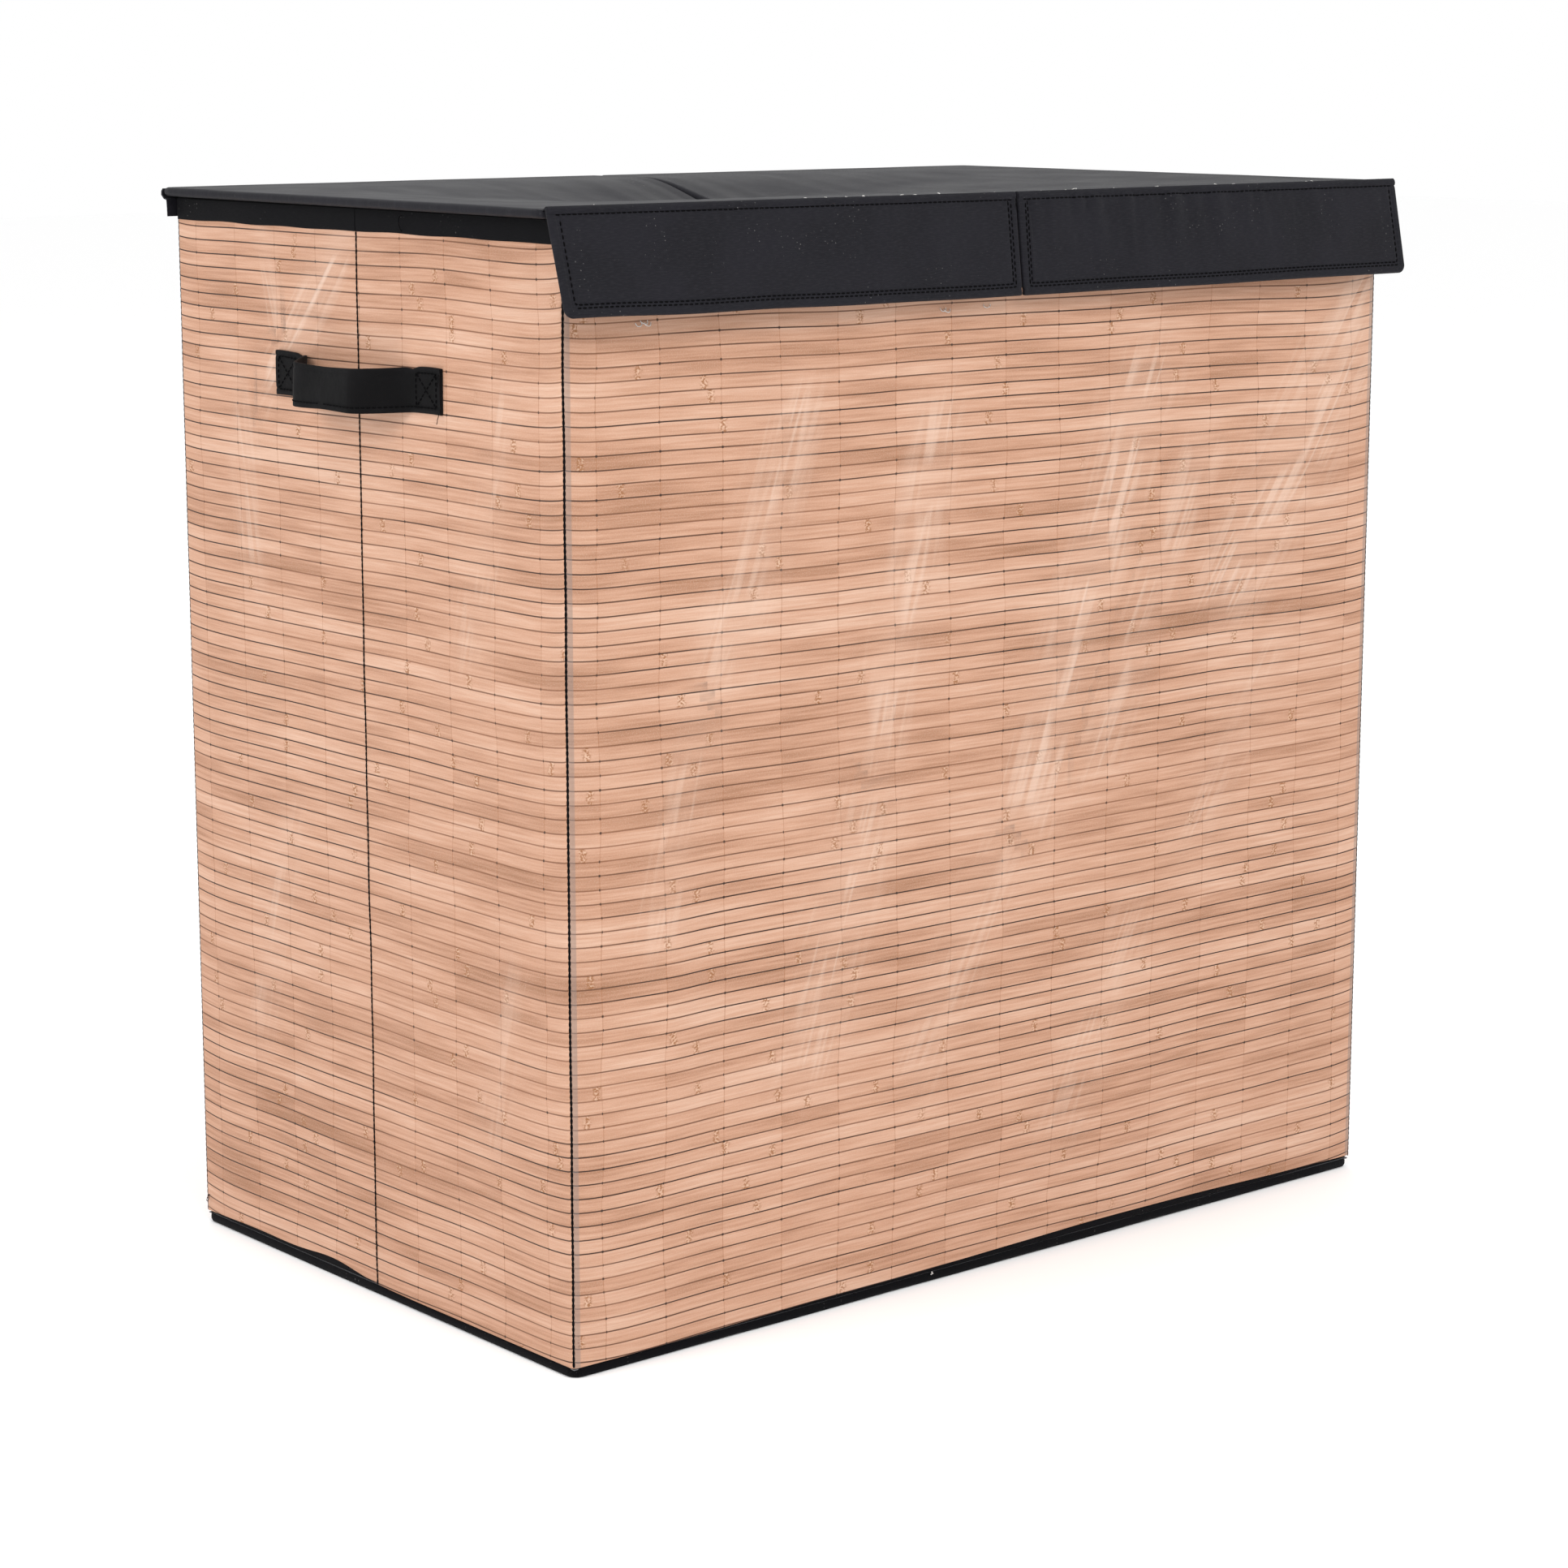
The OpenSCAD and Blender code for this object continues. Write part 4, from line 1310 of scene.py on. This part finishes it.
def strap_point(side, y, across, out):
    """Point of a strap: across is -1 at its lower edge and 1 at its upper edge."""
    share = np.clip((bow_half - abs(y)) / bow_half, 0, 1)
    droop = -2.0 * MM * np.sin(share * math.pi / 2) - 0.8 * MM * ripple(y, 0 * y, 131 + side, 0.06)
    lean = 2.2 * MM * share * across
    pinch = 1 - 0.07 * share + 0.03 * ripple(y, across * 0.004, 132 + side, 0.03)
    pinch = pinch - 0.11 * hump(abs(y), bow_half, 3 * MM) * (across > 0)
    gathered = hump(abs(y), bow_half - 9 * MM, 9 * MM)
    uneven = 0.6 * MM * share * ripple(y, across * 0.006, 133 + side, 0.02)
    uneven = uneven + 1.1 * MM * gathered * ripple(y, across * 0.012, 134 + side, 0.011)
    far = strap_out(y) + out - lean * 0.6 + uneven
    x = side * (half_w + np.maximum(far, out))
    return np.stack([x, y, strap_mid_z + droop + across * strap_half_w * pinch], -1)


# Section of a strap round its edge: share of half its width, and share of its thickness
strap_section = [(-1, 0.35), (-0.97, 0.0), (-0.5, 0.0), (0, 0.0), (0.5, 0.0), (0.97, 0.0), (1, 0.35),
                 (1, 0.7), (0.97, 0.96), (0.86, 1.0), (0.76, 0.84), (0.66, 1.0), (0, 1.06), (-0.6, 1.0),
                 (-0.7, 0.84), (-0.8, 1.0), (-0.97, 0.96), (-1, 0.7)]


def strap_mesh(side, start, end):
    """Half a strap, from its patch to the middle."""
    stations = spaced(start, end, 2.5 * MM)
    across, level = np.array(strap_section).T
    rings = [strap_point(side, np.full(len(across), y), across, 0.1 * MM + level * (strap_t - 0.3 * MM))
             for y in stations]
    lengths = np.cumsum(np.hypot(np.diff(across, prepend=across[0]) * strap_half_w,
                                 np.diff(level, prepend=level[0]) * strap_t))
    return loft_mesh(rings, lengths, abs(stations))


def strap_stitches(side, end):
    """The boxed cross on a strap's patch and the row along its lower edge."""
    sign = math.copysign(1, end)
    a, b = end - sign * 3 * MM, end - sign * (patch_len - 4 * MM)
    edge = strap_row * strap_half_w
    box = line_points((a, -edge), (b, -edge), (b, edge), (a, edge), (a, -edge), (b, edge))
    parts = []
    for run in (box, line_points((a, edge), (b, -edge))):
        y, height = np.array(run).T
        path = strap_point(side, y, height / strap_half_w, strap_t - 0.1 * MM)
        outward = np.tile((side, 0.0, 0.0), (len(path), 1))
        parts += stitch_parts(*row_of(path, outward, strap_pitch), 0.8 * MM, 0.6 * MM)
    y = spaced(b, 0.5 * MM * sign, 1.5 * MM)
    path = strap_point(side, y, np.full(len(y), -strap_row), strap_t - 0.35 * MM)
    outward = np.cross(np.gradient(path, axis=0), (0, 0, 1.0))
    outward *= np.sign(outward[:, :1] * side)
    outward /= np.linalg.norm(outward, axis=1)[:, None]
    return parts + stitch_parts(*row_of(path, outward, strap_pitch), 0.7 * MM, 0.55 * MM)


for name, (side, _, _) in lids.items():
    for end, half_name in ((-strap_end, "front"), (strap_end, "rear")):
        strap_name = f"{name}_strap_{half_name}"
        strap = add_piece(strap_name, *strap_mesh(side, end, 0), STRAP_CLOTH, "webbing", 60)
        threads = add_piece(strap_name + "_stitching", *join_meshes(strap_stitches(side, end)),
                            BLACK_THREAD, "thread")
        for piece in (strap, threads):
            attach(piece, f"{name}_side_{half_name}")
            side * half_w
            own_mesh(piece)
        if half_name == "rear":
            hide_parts(name + "_handle")

# ---- Loose threads ----
# A few thread ends are left uncut at the split, on a strap, at a corner and on the
# side binding. Pale lint clings to the lids' front edges, and a fleck of it to the base.

# Threads: the body they are on, and the start, length and seed of each
corner_knot = (-half_w - 0.6 * MM, half_d - 5 * MM, 17 * MM)
patch_x = -half_w - 3 * MM
ends = {
    "split_threads": ("left_valance", [((-2 * MM, hinge_y - 2 * MM, hinge_z + 0.5 * MM), 9 * MM, 141),
                                       ((-1 * MM, hinge_y - 3 * MM, hinge_z - 1 * MM), 12 * MM, 142)]),
    "side_binding_thread": ("left_side_front", [((-half_w - 1.5 * MM, -45 * MM, wall_top - 3 * MM),
                                                 16 * MM, 143)]),
    "corner_knot": ("left_side_rear", [(corner_knot, 5 * MM, 146), (corner_knot, 5 * MM, 147)]),
    "strap_threads": ("left_side_front", [((patch_x, -strap_end, strap_mid_z + 9 * MM), 7 * MM, 144),
                                          ((patch_x, -strap_end, strap_mid_z - 11 * MM), 6 * MM, 145)]),
}
for name, (body, threads) in ends.items():
    parts = [tube_mesh(loose_thread(*thread), 0.2 * MM, 5) for thread in threads]
    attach(add_piece(name, *join_meshes(parts), BLACK_THREAD, "thread"), body)

r = np.random.default_rng(155)
for name in lids:
    parts = []
    for x in r.uniform(lid_low.x + 8 * MM, lid_high.x - 6 * MM, 44):
        start = lid_face(name, 1)(x, lid_low.y + r.uniform(0.3, 3.5) * MM) + (0, 0, 0.4 * MM)
        points = loose_thread(start, r.uniform(1.5, 6) * MM, int(r.integers(999)), 0.7, 0)
        points[:, 1] = np.maximum(points[:, 1], lid_low.y + 0.2 * MM)
        points[:, 2] = start[2] + 0.25 * (points[:, 2] - start[2] + 0.4 * MM)
        parts.append(tube_mesh(points, r.uniform(0.12, 0.24) * MM, 4))
    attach(add_piece(name + "_edge_lint", *join_meshes(parts), PALE_THREAD, "light_thread"), name + "_lid")

fleck_points = loose_thread((-50 * MM, base_low.y - 0.4 * MM, 4.5 * MM), 4 * MM, 151, 0.9, 0)
fleck = tube_mesh(fleck_points, 0.35 * MM, 5)
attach(add_piece("lint_fleck", *fleck, PALE_THREAD, "light_thread"), "rear_wall")
